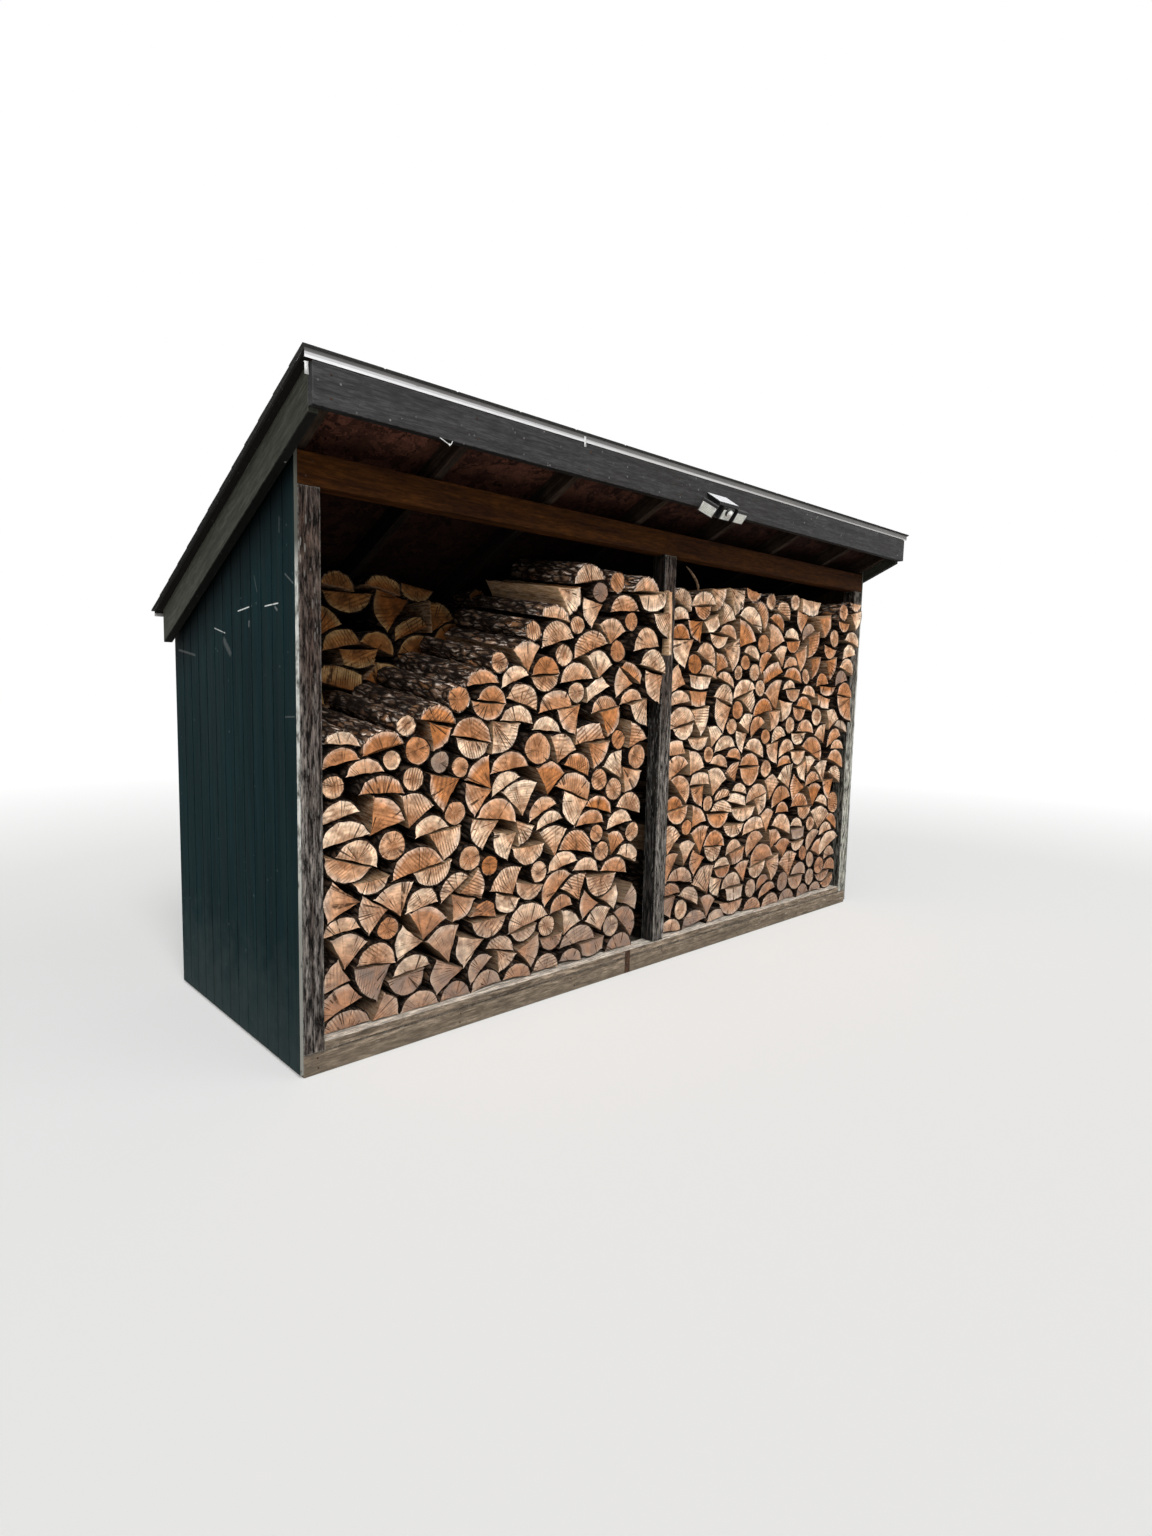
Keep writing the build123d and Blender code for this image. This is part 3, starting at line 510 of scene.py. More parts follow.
def makeTimber(finish, run, slope=0.0):
    # Streaks mix dark with light. Stains, knots, the upper tone, painted shades, the top painted highlight,
    # the seam and mottle lie over them, then worn edges, flecks and chips, dark checks and soil. The bump
    # adds mottle, fibres and streaks and takes chips and checks away
    values = timbers[finish]
    material = newMaterial(finish + run, rough=values["rough"], shine=values["shine"])
    coords, plain = grainCoords(material, slope), objectCoords(material)
    fibre = useGroup(timberFibre, {"Vector": coords, "Along": grainRuns[run], "Knots": values["knots"]})
    stains = useGroup(weatherStains, {"Vector": plain, "Soil Height": values["soilHeight"]})
    # The worn edges are wear, and on the posts, made wide, a painted highlight along the edges too
    width = values.get("wearAndHighlightWidth", timberCover["wearAndHighlightWidth"])
    worn = useGroup(edgeWear, {"Vector": plain, "Width": width, "Amount": values["wear"]})["Mask"]
    tone = blend(fibre["Streaks"], values["dark"], values["light"])
    tone = shaded(tone, spread(fibre["Fibres"], 0.3, 0.7, 0.72, 1.22))
    tone = layered(tone, (stains["Patches"], values["stainShare"], values["stain"]),
                   (stains["Runs"], values["stainShare"] * 0.6, values["stain"]),
                   (fibre["Knot"], 0.7, values["dark"]))
    if "upperTone" in values:
        parts = partsOf(plain)
        # Paler away from the left end, and darker towards the top
        bleach = spread(parts["X"], values["bleachFrom"], values["bleachTo"], 0.0, values["bleachShare"])
        upper = spread(parts["Z"], values["upperFrom"], values["upperTo"], 0.0, values["upperShare"])
        tone = blend(upper, blend(bleach, tone, values["bleached"]), values["upperTone"])
        # Painted shade: faces turned sideways are darkened
        sideways = abs(facingOf(material)["X"]) > 0.7
        tone = shaded(tone, spread(sideways, 0.0, 1.0, 1.0, values["paintedSideShade"]))
    # Painted shade: wood deeper inside the shed is darkened
    if "paintedInnerShade" in values:
        inward = spread(partsOf(plain)["Y"], 0.0, timberCover["innerDepth"], 1.0, values["paintedInnerShade"])
        tone = shaded(tone, inward)
    # Painted highlight: upward faces go pale, towards the worn colour
    if "topPaintedHighlight" in values:
        tone = blend(spread(facingOf(material)["Z"], 0.4, 0.8, 0.0, values["topPaintedHighlight"]), tone, values["worn"])
    if "seam" in values:  # the joint between sill and board, a ragged dark line
        apart = abs(partsOf(plain)["Z"] - values["seam"]) + noiseOf(plain, 14.0) * 0.004
        line = spread(apart, *values["seamWidths"], values["seamShare"], 0.0)
        tone = blend(line, tone, values["seamColour"])
    # Painted shade: faces turned down are darkened
    if "paintedUnderShade" in values:
        tone = shaded(tone, spread(facingOf(material)["Z"] < -0.3, 0.0, 1.0, 1.0, values["paintedUnderShade"]))
    mottle = spread(fibre["Mottle"], 0.0, 1.0, 1.0 - values["mottle"], 1.0 + 1.5 * values["mottle"])
    tone = blend(worn, shaded(tone, mottle), values["worn"])
    height = fibre["Mottle"] * values["mottle"] + fibre["Fibres"] * 0.35
    if "flecks" in values:
        drawn = scaled(coords, [max(0.2, factor) for factor in grainRuns[run]])
        flecks = speckle(drawn, 130.0, values["flecks"], 0.5)
        tone = layered(tone, (flecks, 0.55, values["worn"]))
        height = height + flecks * 0.4
    height = height + fibre["Streaks"] * 0.5
    if "chips" in values:
        chips = speckle(plain, 85.0, values["chips"], 0.42)
        tone = layered(tone, (chips, 0.6, timberCover["chip"]))
        height = height - chips * 0.5
    checks = fibre["Checks"] * values["checks"]
    tone = blend(checks, tone, [0.35 * part for part in values["dark"]])
    tone = layered(tone, (stains["Soil"], 0.7, timberCover["soil"]))
    return finished(material, tone, height - checks, 1.0, values["bump"])


# Siding: dark teal paint outside, bare plywood inside, pale sawn edge at the front, scrapes on the left side.
# A scrape is written as depth and height of its two ends, its width and its strength

siding = {
    "paint": (0.0034, 0.0202, 0.0232), "paintDark": (0.0021, 0.0104, 0.0126), "dust": (0.075, 0.090, 0.086),
    "speck": (0.14, 0.17, 0.165), "bare": (0.050, 0.032, 0.020), "edge": (0.56, 0.56, 0.52),
    "edgeDirtAndShade": (0.10, 0.10, 0.085), "edgeTop": 2.05, "edgeFoot": 0.98, "edgeWidth": 0.0012,
    "scrapeColour": (0.78, 0.80, 0.78), "soilHeight": 0.5,
    "shadeTop": 2.36, "shadeDepths": (0.06, 0.26), "shade": 0.16,
    "leftFace": -2.0975, "outerFace": 2.087, "rearFace": 1.332,
    "scrapes": [
        (0.269, 1.825, 0.148, 1.830, 0.0040, 0.95),
        (0.542, 1.819, 0.426, 1.830, 0.0042, 0.95),
        (0.818, 1.759, 0.691, 1.734, 0.0038, 0.7),
        (0.083, 1.933, 0.016, 1.895, 0.0060, 0.11),
        (0.371, 1.948, 0.344, 1.884, 0.0050, 0.07),
        (0.176, 1.817, 0.158, 1.805, 0.0080, 0.18),
        (0.429, 1.770, 0.430, 1.754, 0.0100, 0.16),
        (0.704, 1.704, 0.638, 1.648, 0.0240, 0.08),
        (0.129, 2.145, 0.131, 2.090, 0.0050, 0.08),
        (1.287, 1.670, 1.067, 1.644, 0.0090, 0.08),
        (0.099, 1.402, 0.012, 1.407, 0.0050, 0.08),
    ],
}


def makeSiding():
    # Streaks mix two paints, with patches, dusty runs, dusty edges and specks over them, the roof's painted
    # shade above and scrapes. Faces inside the frame are bare wood. The front edge is pale, dirty by noise,
    # darker towards its foot and dark with painted shade at its top
    material = newMaterial("paintedSiding", rough=0.7, shine=0.04)
    coords = objectCoords(material)
    parts = partsOf(coords)
    fibre = useGroup(timberFibre, {"Vector": coords, "Along": grainRuns["Z"], "Knots": 0.0})
    stains = useGroup(weatherStains, {"Vector": coords, "Soil Height": siding["soilHeight"]})
    worn = useGroup(edgeWear, {"Vector": coords, "Width": 0.003, "Amount": 0.25})["Mask"]
    tone = blend(fibre["Streaks"], siding["paintDark"], siding["paint"])
    tone = layered(tone, (stains["Patches"], 0.35, siding["paintDark"]),
                   (stains["Runs"], 0.06, siding["dust"]))
    tone = blend(worn, tone, siding["dust"])
    tone = layered(tone, (speckle(coords, 42.0, 0.05, 0.28), 0.35, siding["speck"]))
    fall = parts["Y"] * math.tan(math.radians(shingleRoof["pitch"]))
    below = siding["shadeTop"] - (parts["Z"] + fall) + ragged(coords, 0.12, 5.0)
    tone = shaded(tone, spread(below, *siding["shadeDepths"], siding["shade"], 1.0))
    for startDepth, startHeight, endDepth, endHeight, width, strength in siding["scrapes"]:
        values = {"Vector": coords, "Start": (siding["leftFace"], startDepth, startHeight),
                  "End": (siding["leftFace"], endDepth, endHeight), "Width": width}
        tone = layered(tone, (useGroup(strokeMark, values)["Mask"], strength, siding["scrapeColour"]))
    tone = layered(tone, (stains["Soil"], 0.3, siding["dust"]))
    outside = (abs(parts["X"]) > siding["outerFace"]) | (parts["Y"] > siding["rearFace"])
    bare = blend(fibre["Streaks"], [0.5 * part for part in siding["bare"]], siding["bare"])
    dirtAndShade = spread(noiseOf(scaled(coords, (1.0, 1.0, 0.4)), 30.0, 4.0, 0.7), 0.44, 0.62)
    # Painted shade at the top of the front edge
    dirtAndShade = dirtAndShade | spread(parts["Z"], siding["edgeTop"] - 0.15, siding["edgeTop"])
    # Darker towards the foot
    dirtAndShade = dirtAndShade | spread(parts["Z"], siding["edgeFoot"], siding["edgeFoot"] - 0.4, 0.0, 0.72)
    edge = blend(dirtAndShade, siding["edge"], siding["edgeDirtAndShade"])
    tone = blend(parts["Y"] < siding["edgeWidth"], blend(outside, bare, tone), edge)
    return finished(material, tone, fibre["Fibres"] * 0.5 + fibre["Streaks"] - fibre["Checks"], 0.8, 0.0007)


deckBoard = {
    "dark": (0.020, 0.0075, 0.005), "light": (0.115, 0.044, 0.028), "flake": 24.0, "paintedRightShade": 0.34,
    "paintedInnerShade": 0.22, "outerFace": 2.1465, "grimeAndShade": (0.011, 0.010, 0.009), "speck": (0.14, 0.13, 0.12),
}


def makeStrandBoard():
    # Random flakes from dark to light, darker to the right and inwards with painted shade. Outside the
    # walls, grime and painted shade with specks
    material = newMaterial("strandBoard", rough=0.85, shine=0.08)
    coords, plain = grainCoords(material, shingleRoof["pitch"]), objectCoords(material)
    parts = partsOf(plain)
    flakes = useGroup(strandFlakes, {"Vector": coords, "Flake": deckBoard["flake"]})
    tone = blend(flakes["Tone"], deckBoard["dark"], deckBoard["light"])
    # Painted shade to the right and inwards
    tone = shaded(tone, spread(noiseOf(coords, 120.0, 2.0), 0.3, 0.7, 0.7, 1.25),
                  spread(parts["X"], -1.5, 0.6, 1.0, deckBoard["paintedRightShade"]),
                  spread(parts["Y"], 0.0, 0.3, 1.0, deckBoard["paintedInnerShade"]))
    # Grime and painted shade outside the walls
    grimeAndShade = blend(speckle(plain, 90.0, 0.3, 0.4) * 0.35, deckBoard["grimeAndShade"], deckBoard["speck"])
    tone = blend(abs(parts["X"]) > deckBoard["outerFace"], tone, grimeAndShade)
    return finished(material, tone, flakes["Tone"] + flakes["Rim"], 0.9, 0.0009)


dripMetal = {
    "lip": 2.592, "hem": (0.0075, 0.0095), "bright": (0.0175, 0.0215), "brightFar": (0.0160, 0.0190),
    "narrowing": 0.0095, "fadeFrom": -1.7, "fadeTo": 0.9, "pale": (0.86, 0.86, 0.87),
    "dull": (0.40, 0.39, 0.385), "web": (0.33, 0.32, 0.33), "grimeAndShade": (0.055, 0.050, 0.046),
    "dust": (0.30, 0.285, 0.27), "chip": (0.10, 0.09, 0.08),
}


def makeDripMetal():
    # Bright hem along the lower lip, duller above it and towards the right end, and a band of grime and
    # painted shadow under the shingles
    material = newMaterial("dripMetal", rough=0.5, shine=0.3)
    coords = objectCoords(material)
    parts = partsOf(coords)
    stains = useGroup(weatherStains, {"Vector": coords, "Soil Height": 0.01})
    duller = spread(parts["X"], dripMetal["fadeFrom"], dripMetal["fadeTo"]) | (parts["Y"] > 0.5)
    above = parts["Z"] - dripMetal["lip"]
    # Painted shadow of the shingles, with grime, in a band above the hem
    shadowAndGrimeBand = spread(above + ragged(coords, 0.016, 24.0, 4.0), *dripMetal["bright"])
    shadowAndGrimeBand = shadowAndGrimeBand | spread(above + duller * dripMetal["narrowing"], *dripMetal["brightFar"])
    tone = blend(duller, dripMetal["pale"], dripMetal["dull"])
    tone = layered(tone, (spread(above, *dripMetal["hem"]), 0.55, dripMetal["web"]),
                   (shadowAndGrimeBand, 0.9, dripMetal["grimeAndShade"]), (stains["Patches"], 0.3, dripMetal["dust"]),
                   (speckle(coords, 110.0, 0.2, 0.35), 0.6, dripMetal["chip"]))
    return finished(material, tone, noiseOf(scaled(coords, (0.3, 1.0, 1.0)), 30.0), 0.4, 0.001)


smallMetals = {
    "zinc": (0.80, 0.81, 0.80), "scuffed": (0.40, 0.39, 0.37),
    "rustDark": (0.040, 0.024, 0.016), "rust": (0.125, 0.060, 0.030), "pits": (0.020, 0.014, 0.011),
}


def makeBrightMetal():
    # Galvanised sheet, scuffed where a fine noise is high
    material = newMaterial("galvanisedMetal", rough=0.45, shine=0.5)
    scuffs = spread(noiseOf(objectCoords(material), 140.0, 4.0, 0.7), 0.4, 0.65)
    tone = blend(scuffs * 0.5, smallMetals["zinc"], smallMetals["scuffed"])
    return finished(material, tone, scuffs, 0.4, 0.0004)


def makeRustyStrap(name):
    # Broad noise mixes two rusts, and fine noise sinks dark pits into them
    material = newMaterial(name, rough=0.85, shine=0.15)
    coords = objectCoords(material)
    patches = spread(noiseOf(coords, 45.0, 5.0, 0.7), 0.35, 0.65)
    pits = spread(noiseOf(coords, 190.0, 3.0, 0.7), 0.35, 0.6)
    tone = blend(pits, smallMetals["pits"], blend(patches, smallMetals["rustDark"], smallMetals["rust"]))
    return finished(material, tone, patches + pits, 1.0, 0.0006)


lampPlastic = {
    "black": (0.010, 0.010, 0.010), "dust": (0.06, 0.058, 0.052), "worn": (0.22, 0.22, 0.21),
    "rim": ((0.80, 0.80, 0.77), (0.45, 0.44, 0.40)), "plate": ((0.50, 0.52, 0.45), (0.34, 0.34, 0.30)),
    "cells": ((0.86, 0.87, 0.80), (0.60, 0.60, 0.54)),
    "paintedSkyReflection": ((0.84, 0.86, 0.88), (0.90, 0.91, 0.92)), "glassLines": (0.30, 0.31, 0.33),
}


def makeBlackPlastic():
    # Dust by noise, which roughens too, and pale edges that are wear and a painted highlight. The bump is a
    # fine grain
    material = newMaterial("blackPlastic", rough=0.45, shine=0.4)
    coords = objectCoords(material)
    # Pale edges: wear, and a painted highlight along the casing
    worn = useGroup(edgeWear, {"Vector": coords, "Width": 0.0015, "Amount": 0.7})["Mask"]
    dust = spread(noiseOf(coords, 26.0, 4.0, 0.6), 0.42, 0.7)
    setInputs(shaderOf(material), {"Roughness": spread(dust, 0.0, 1.0, 0.36, 0.62)})
    tone = blend(worn, blend(dust * 0.3, lampPlastic["black"], lampPlastic["dust"]), lampPlastic["worn"])
    return finished(material, tone, noiseOf(coords, 900.0, 2.0), 0.5, 0.0002)


def makePalePlastic(name, part):
    # Pale tone, grimy where a noise is high
    material = newMaterial(name, rough=0.3, coat=0.4, coatRough=0.12)
    coords = objectCoords(material)
    tone = blend(spread(noiseOf(coords, 60.0, 4.0, 0.6), 0.4, 0.75) * 0.7, *lampPlastic[part])
    return finished(material, tone, noiseOf(coords, 700.0, 2.0), 0.3, 0.0001)


def makeSolarGlass():
    # Glazed cells with lines between them on the upper side, pale with a painted reflection of the sky,
    # black frame round it and below
    material = newMaterial("solarGlass", rough=0.4, shine=0.08, coat=0.1, coatRough=0.1)
    # The pale cells are a painted reflection of the sky
    pale, paler = lampPlastic["paintedSkyReflection"]
    values = {"Vector": objectCoords(material), "Scale": 1.0, "Color1": pale, "Color2": paler,
              "Mortar": lampPlastic["glassLines"], "Mortar Size": 0.0006, "Brick Width": 0.04,
              "Row Height": 0.026}
    cells = first(addNode("TexBrick", values, offset=0.0))
    return finished(material, blend(facingOf(material)["Z"] > 0.6, lampPlastic["black"], cells))


# Roof covering: a thin underlay with separate shingle tabs laid on it

shingleRoof = {
    "pitch": 25.0, "course": 0.143, "tabWidth": 0.305, "slot": 0.009, "thick": 0.0070, "thin": 0.0025,
    "bed": 0.0015, "underlay": 0.0012, "narrowest": 0.02, "uneven": 0.003, "curl": 0.0012, "seed": 21,
    "dark": (0.020, 0.020, 0.021), "light": (0.105, 0.102, 0.098), "moss": (0.055, 0.056, 0.045),
}


def makeShingleGranules():
    # Random granules from dark to light, each tab with a shade of its own, broad mossy patches
    material = newMaterial("roofShingle", rough=0.95, shine=0.15)
    coords = objectCoords(material)
    tab = attributeOf(material, "tabTone")["Fac"]
    grains = channelsOf(cellsOf(coords, 520.0)["Color"])[0]
    tone = shaded(blend(grains, shingleRoof["dark"], shingleRoof["light"]), spread(tab, 0.0, 1.0, 0.62, 1.25))
    tone = layered(tone, (spread(noiseOf(coords, 3.0, 4.0), 0.45, 0.7), 0.3, shingleRoof["moss"]))
    return finished(material, tone, grains, 1.0, 0.0008)


# Meshes. A part is its points, the point numbers of its faces one after another, and the size of each face

def meshFrom(name, points, loops, sizes, materials, kinds=None):
    mesh = bpy.data.meshes.new(name)
    mesh.vertices.add(len(points))
    mesh.vertices.foreach_set("co", np.asarray(points, np.float32).ravel())
    mesh.loops.add(len(loops))
    mesh.loops.foreach_set("vertex_index", np.asarray(loops, np.int32))
    mesh.polygons.add(len(sizes))
    mesh.polygons.foreach_set("loop_start", np.concatenate([[0], np.cumsum(sizes)[:-1]]).astype(np.int32))
    mesh.polygons.foreach_set("loop_total", np.asarray(sizes, np.int32))
    mesh.update(calc_edges=True)
    for material in materials:
        mesh.materials.append(material)
    if kinds is not None:
        mesh.polygons.foreach_set("material_index", kinds.astype(np.int32))
    return mesh


def joined(name, parts, materials, kinds=None):
    # One mesh of many parts, each with its own material number
    counts = np.cumsum([0] + [len(points) for points, *_ in parts])
    loops = np.concatenate([loops + start for (_, loops, _), start in zip(parts, counts)])
    points, sizes = (np.concatenate([part[place] for part in parts]) for place in (0, 2))
    numbers = None if kinds is None else np.repeat(kinds, [len(sizes) for *_, sizes in parts])
    return meshFrom(name, points, loops, sizes, materials, numbers)


def smoothed(mesh, angle):
    mesh.shade_smooth()
    mesh.set_sharp_from_angle(angle=math.radians(angle))


def addPiece(name, mesh, slot, *replaced):
    piece = bpy.data.objects.new(name, mesh)
    scene.collection.objects.link(piece)
    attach(piece, "root")
    if replaced:
        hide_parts(*replaced)


def trianglesOf(name):
    # Points of a node of the frame, and the point numbers of its triangles
    mesh = nodes[name].data
    points = np.zeros(len(mesh.vertices) * 3)
    mesh.vertices.foreach_get("co", points)
    loops = np.zeros(len(mesh.loops), int)
    mesh.loops.foreach_get("vertex_index", loops)
    return points.reshape(-1, 3), loops.reshape(-1, 3)


def boxes(lows, highs):
    # Many blocks at once, eight corners each
    lows, highs = np.asarray(lows, float), np.asarray(highs, float)
    pick = np.array([[0, 0, 0], [1, 0, 0], [1, 1, 0], [0, 1, 0], [0, 0, 1], [1, 0, 1], [1, 1, 1], [0, 1, 1]])
    corners = lows[:, None, :] * (1 - pick) + highs[:, None, :] * pick
    faces = np.array([[0, 3, 2, 1], [4, 5, 6, 7], [0, 1, 5, 4], [1, 2, 6, 5], [2, 3, 7, 6], [3, 0, 4, 7]])
    loops = np.arange(len(lows))[:, None, None] * 8 + faces
    return corners.reshape(-1, 3), loops.ravel(), np.full(len(lows) * 6, 4)


def ringQuads(rows, count):
    # Point numbers between the rings of a tube: a point, the next one round, and the two above them
    here = np.arange(count)
    after = (here + 1) % count
    offset = (np.arange(rows - 1) * count)[:, None]
    return offset + here, offset + after, offset + count + after, offset + count + here


def tube(rings, closed):
    # Skin over rings of points with a cap on the last one, and on the first too if closed
    rows, sides = rings.shape[:2]
    quads = np.stack(ringQuads(rows, sides), axis=2)
    caps = [(rows - 1) * sides + np.arange(sides)]
    if closed:
        caps.append(np.arange(sides)[::-1])
    sizes = np.concatenate([np.full(quads.size // 4, 4), [sides] * len(caps)])
    return rings.reshape(-1, 3), np.concatenate([quads.ravel(), *caps]), sizes


def turned(profile, sides, middle, right, up, outward):
    # Profile turned round an axis: the middle, plus radius times cosine right and sine up, plus height out
    radius, height = np.array(profile).T
    angle = 2 * np.pi * np.arange(sides) / sides
    ring = np.cos(angle)[:, None] * right + np.sin(angle)[:, None] * up
    return tube(middle + radius[:, None, None] * ring + height[:, None, None] * outward, False)


def swept(path, radii, sides):
    # Bar along a path: each point, plus its radius times cosine and sine along two directions across it
    path, radii = np.array(path), np.array(radii)
    run = np.gradient(path, axis=0)
    run /= np.linalg.norm(run, axis=1, keepdims=True)
    right = np.cross(run, (0.05, -1.0, 0.1))
    right /= np.linalg.norm(right, axis=1, keepdims=True)
    up = np.cross(run, right)
    angle = 2 * np.pi * np.arange(sides) / sides
    ring = np.cos(angle)[None, :, None] * right[:, None] + np.sin(angle)[None, :, None] * up[:, None]
    return tube(path[:, None] + ring * radii[:, None, None], True)


def makeShingleRoof(material):
    # Tabs between lines of equal spacing down the slope, laid over a thin bed. Each height is the deck's top
    # less the depth times the tangent of the pitch, plus the tab's own thickness
    low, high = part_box("shingles")
    deckLow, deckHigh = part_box("roof_deck_upper")
    fall = math.tan(math.radians(shingleRoof["pitch"]))
    run = shingleRoof["course"] * math.cos(math.radians(shingleRoof["pitch"]))
    rng = np.random.default_rng(shingleRoof["seed"])
    edges = np.arange(high.y, low.y - run, -run).clip(min=low.y)
    lows, highs, lifts, tones = [], [], [], []
    for course, (rear, front) in enumerate(zip(edges, edges[1:])):
        start = low.x - (course % 2) * shingleRoof["tabWidth"] / 2
        lefts = np.arange(start, high.x, shingleRoof["tabWidth"])
        rights = lefts + shingleRoof["tabWidth"] - shingleRoof["slot"]
        keep = (rights > low.x + shingleRoof["narrowest"]) & (lefts < high.x - shingleRoof["narrowest"])
        head = shingleRoof["thick"] - (shingleRoof["thick"] - shingleRoof["thin"]) * ((rear - front) / run)
        for left, right in zip(lefts[keep].clip(low.x, high.x), rights[keep].clip(low.x, high.x)):
            uneven = rng.uniform(0.0, shingleRoof["uneven"]) if course else 0.0
            lows.append((left, front, shingleRoof["underlay"] * 0.5))
            highs.append((right, rear - uneven, 0.0))
            lifts.append((head, shingleRoof["thick"] - rng.uniform(0.0, shingleRoof["curl"])))
            tones.append(rng.uniform(0.0, 1.0))
    tabs = boxes(lows, highs)
    tabs[0].reshape(-1, 8, 3)[:, 4:, 2] = np.repeat(lifts, 2, axis=1)
    bed = boxes([(low.x, low.y, 0.0)], [(high.x, high.y, shingleRoof["underlay"])])
    for points, *_ in (tabs, bed):
        points[:, 2] += deckHigh.z - (points[:, 1] - deckLow.y) * fall + shingleRoof["bed"]
    mesh = joined("shingleTabs", [tabs, bed], [material])
    tone = mesh.attributes.new("tabTone", "FLOAT", "POINT")
    tone.data.foreach_set("value", np.concatenate([np.repeat(tones, 8), np.zeros(8)]).astype(np.float32))
    addPiece("shingleTabs", mesh, "roof_shingle", "shingles")


# Firewood: every log of the solids is redrawn with round bark, rough split faces and sawn ends.
# Each stack has a name, a seed and a scale of its logs' tones, low in the rear stacks as painted shade.
# Open logs have a side that no other log covers

firewood = {
    "step": 0.013, "openStep": 0.0085, "barkRough": 0.0015, "openRough": 0.0024, "ringSpacing": 0.017,
    "innerRings": (0.33, 0.66), "barkThickness": 0.0052, "cutDepth": 0.0007, "roundOff": 0.0022,
    "splitRough": 0.0048, "deepestBend": 0.014, "plateRelief": 0.0046, "plateSteps": (3, 2),
    "endTilt": 0.045, "tiltLimit": 0.07, "pithOffset": 0.006, "longestArm": 0.5, "openShare": 0.3,
    "columnWidth": 0.006, "sharpFrom": 38.0, "soiledBelow": 0.74, "paleShare": 0.09, "greyShare": 0.02,
    "stacks": {
        "firewood_front_left": ("frontLeftLogs", 31, 1.0),
        "firewood_front_right": ("frontRightLogs", 32, 1.0),
        "firewood_rear_left": ("rearLeftLogs", 33, 0.3),
        "firewood_rear_right": ("rearRightLogs", 34, 0.3),
    },
}


def solidsOf(name):
    # Points that lie at one place are one corner, and corners that share triangles are one solid
    points, triangles = trianglesOf(name)
    places, same = np.unique(np.round(points, 5), axis=0, return_inverse=True)
    triangles = same.ravel()[triangles]
    label = np.arange(len(places))
    while True:
        fresh = label.copy()
        np.minimum.at(fresh, triangles.ravel(), np.repeat(label[triangles].min(axis=1), 3))
        if (fresh == label).all():
            return [places[label == number] for number in np.unique(label)]
        label = fresh


def endsOf(solid):
    # Front outline, depths of both ends, and how the inner end is moved and shrunk against the front one
    inner = solid[:, 1] > solid[:, 1].mean()
    front, rear = solid[~inner][:, [0, 2]], solid[inner][:, [0, 2]]
    away = front - front.mean(axis=0)
    outline = front[np.argsort(np.arctan2(away[:, 1], away[:, 0]))]
    shift = rear.mean(axis=0) - front.mean(axis=0)
    size = np.ptp(rear[:, 0]) / np.ptp(front[:, 0])
    return outline, solid[:, 1].min(), solid[:, 1].max(), shift, size


def circleCentre(a, b, c):
    rows = 2 * np.array([b - a, c - a])
    right = np.array([b @ b - a @ a, c @ c - a @ a])
    return np.linalg.lstsq(rows, right, rcond=None)[0]


def readLog(outline, rng):
    # Sides under bark and the pith: seven corners are a round, five a half or a slab, four a wedge
    reach = np.linalg.norm(np.roll(outline, -1, axis=0) - outline, axis=1)
    if len(outline) == 7:
        offset = rng.uniform(-firewood["pithOffset"], firewood["pithOffset"], 2)
        return outline, np.ones(7, bool), outline.mean(axis=0) + offset
    if len(outline) == 5:
        outline = np.roll(outline, -int(np.argmax(reach)) - 1, axis=0)
        centre = circleCentre(*outline[1:4])
        middle = outline.mean(axis=0)
        arm = centre - middle
        if np.linalg.norm(arm) > firewood["longestArm"]:
            centre = middle + arm * firewood["longestArm"] / np.linalg.norm(arm)
        radius = np.linalg.norm(outline[2] - centre)
        ends = np.linalg.norm(outline[[0, 4]] - centre, axis=1).mean()
        whole = abs(ends - radius) < 0.25 * radius
        return outline, np.array([whole, True, True, whole, False]), centre
    around = reach + np.roll(reach, 1)
    outline = np.roll(outline, -int(np.argmax(around)), axis=0)
    return outline, np.array([False, True, True, False]), outline[0].copy()


def refineEnd(outline, bark, pith, step, rng):
    # Bark sides follow a circle about the pith, split sides sink in by a few smooth waves
    points, tags = [], []
    for start, end, underBark in zip(outline, np.roll(outline, -1, axis=0), bark):
        length = np.linalg.norm(end - start)
        count = max(2, int(round(length / step)))
        t = np.arange(count) / count
        line = start + t[:, None] * (end - start)
        if underBark:
            arm = line - pith
            distance = np.linalg.norm(arm, axis=1, keepdims=True)
            radius = np.linalg.norm(start - pith)
            bend = min(length ** 2 / (8 * max(radius, length / 2)), firewood["deepestBend"])
            line = line + arm / distance * bend * (4 * t * (1 - t) - 0.55)[:, None]
        else:
            inward = np.array([-(end - start)[1], (end - start)[0]]) / length
            arch = np.sin(np.pi * t)
            waves = rng.uniform(0.4, 1.0) * arch
            waves = waves + 0.35 * np.sin(rng.uniform(2, 5) * np.pi * t + rng.uniform(0, 6)) * arch
            waves = waves + rng.uniform(0, 0.35, count) * (t > 0)
            line = line + inward * (firewood["splitRough"] * waves.clip(min=0.0))[:, None]
        points.append(line)
        tags.append(np.full(count, underBark))
    return np.vstack(points), np.concatenate(tags)


def outlineNormals(points):
    # Outward across each corner: the mean of the two sides beside it
    side = np.roll(points, -1, axis=0) - points
    out = np.column_stack([side[:, 1], -side[:, 0]])
    out /= np.linalg.norm(out, axis=1, keepdims=True).clip(min=1e-9)
    both = out + np.roll(out, 1, axis=0)
    return both / np.linalg.norm(both, axis=1, keepdims=True).clip(min=1e-9)


def waveField(around, along, rng):
    # Sum of slow waves round and along a log
    total = np.zeros(np.broadcast(around, along).shape)
    for _ in range(7):
        turns, rate = rng.integers(1, 14), rng.uniform(4, 46)
        total = total + np.sin(turns * 2 * np.pi * around + rate * along + rng.uniform(0, 6.28))
    return total / 3.5


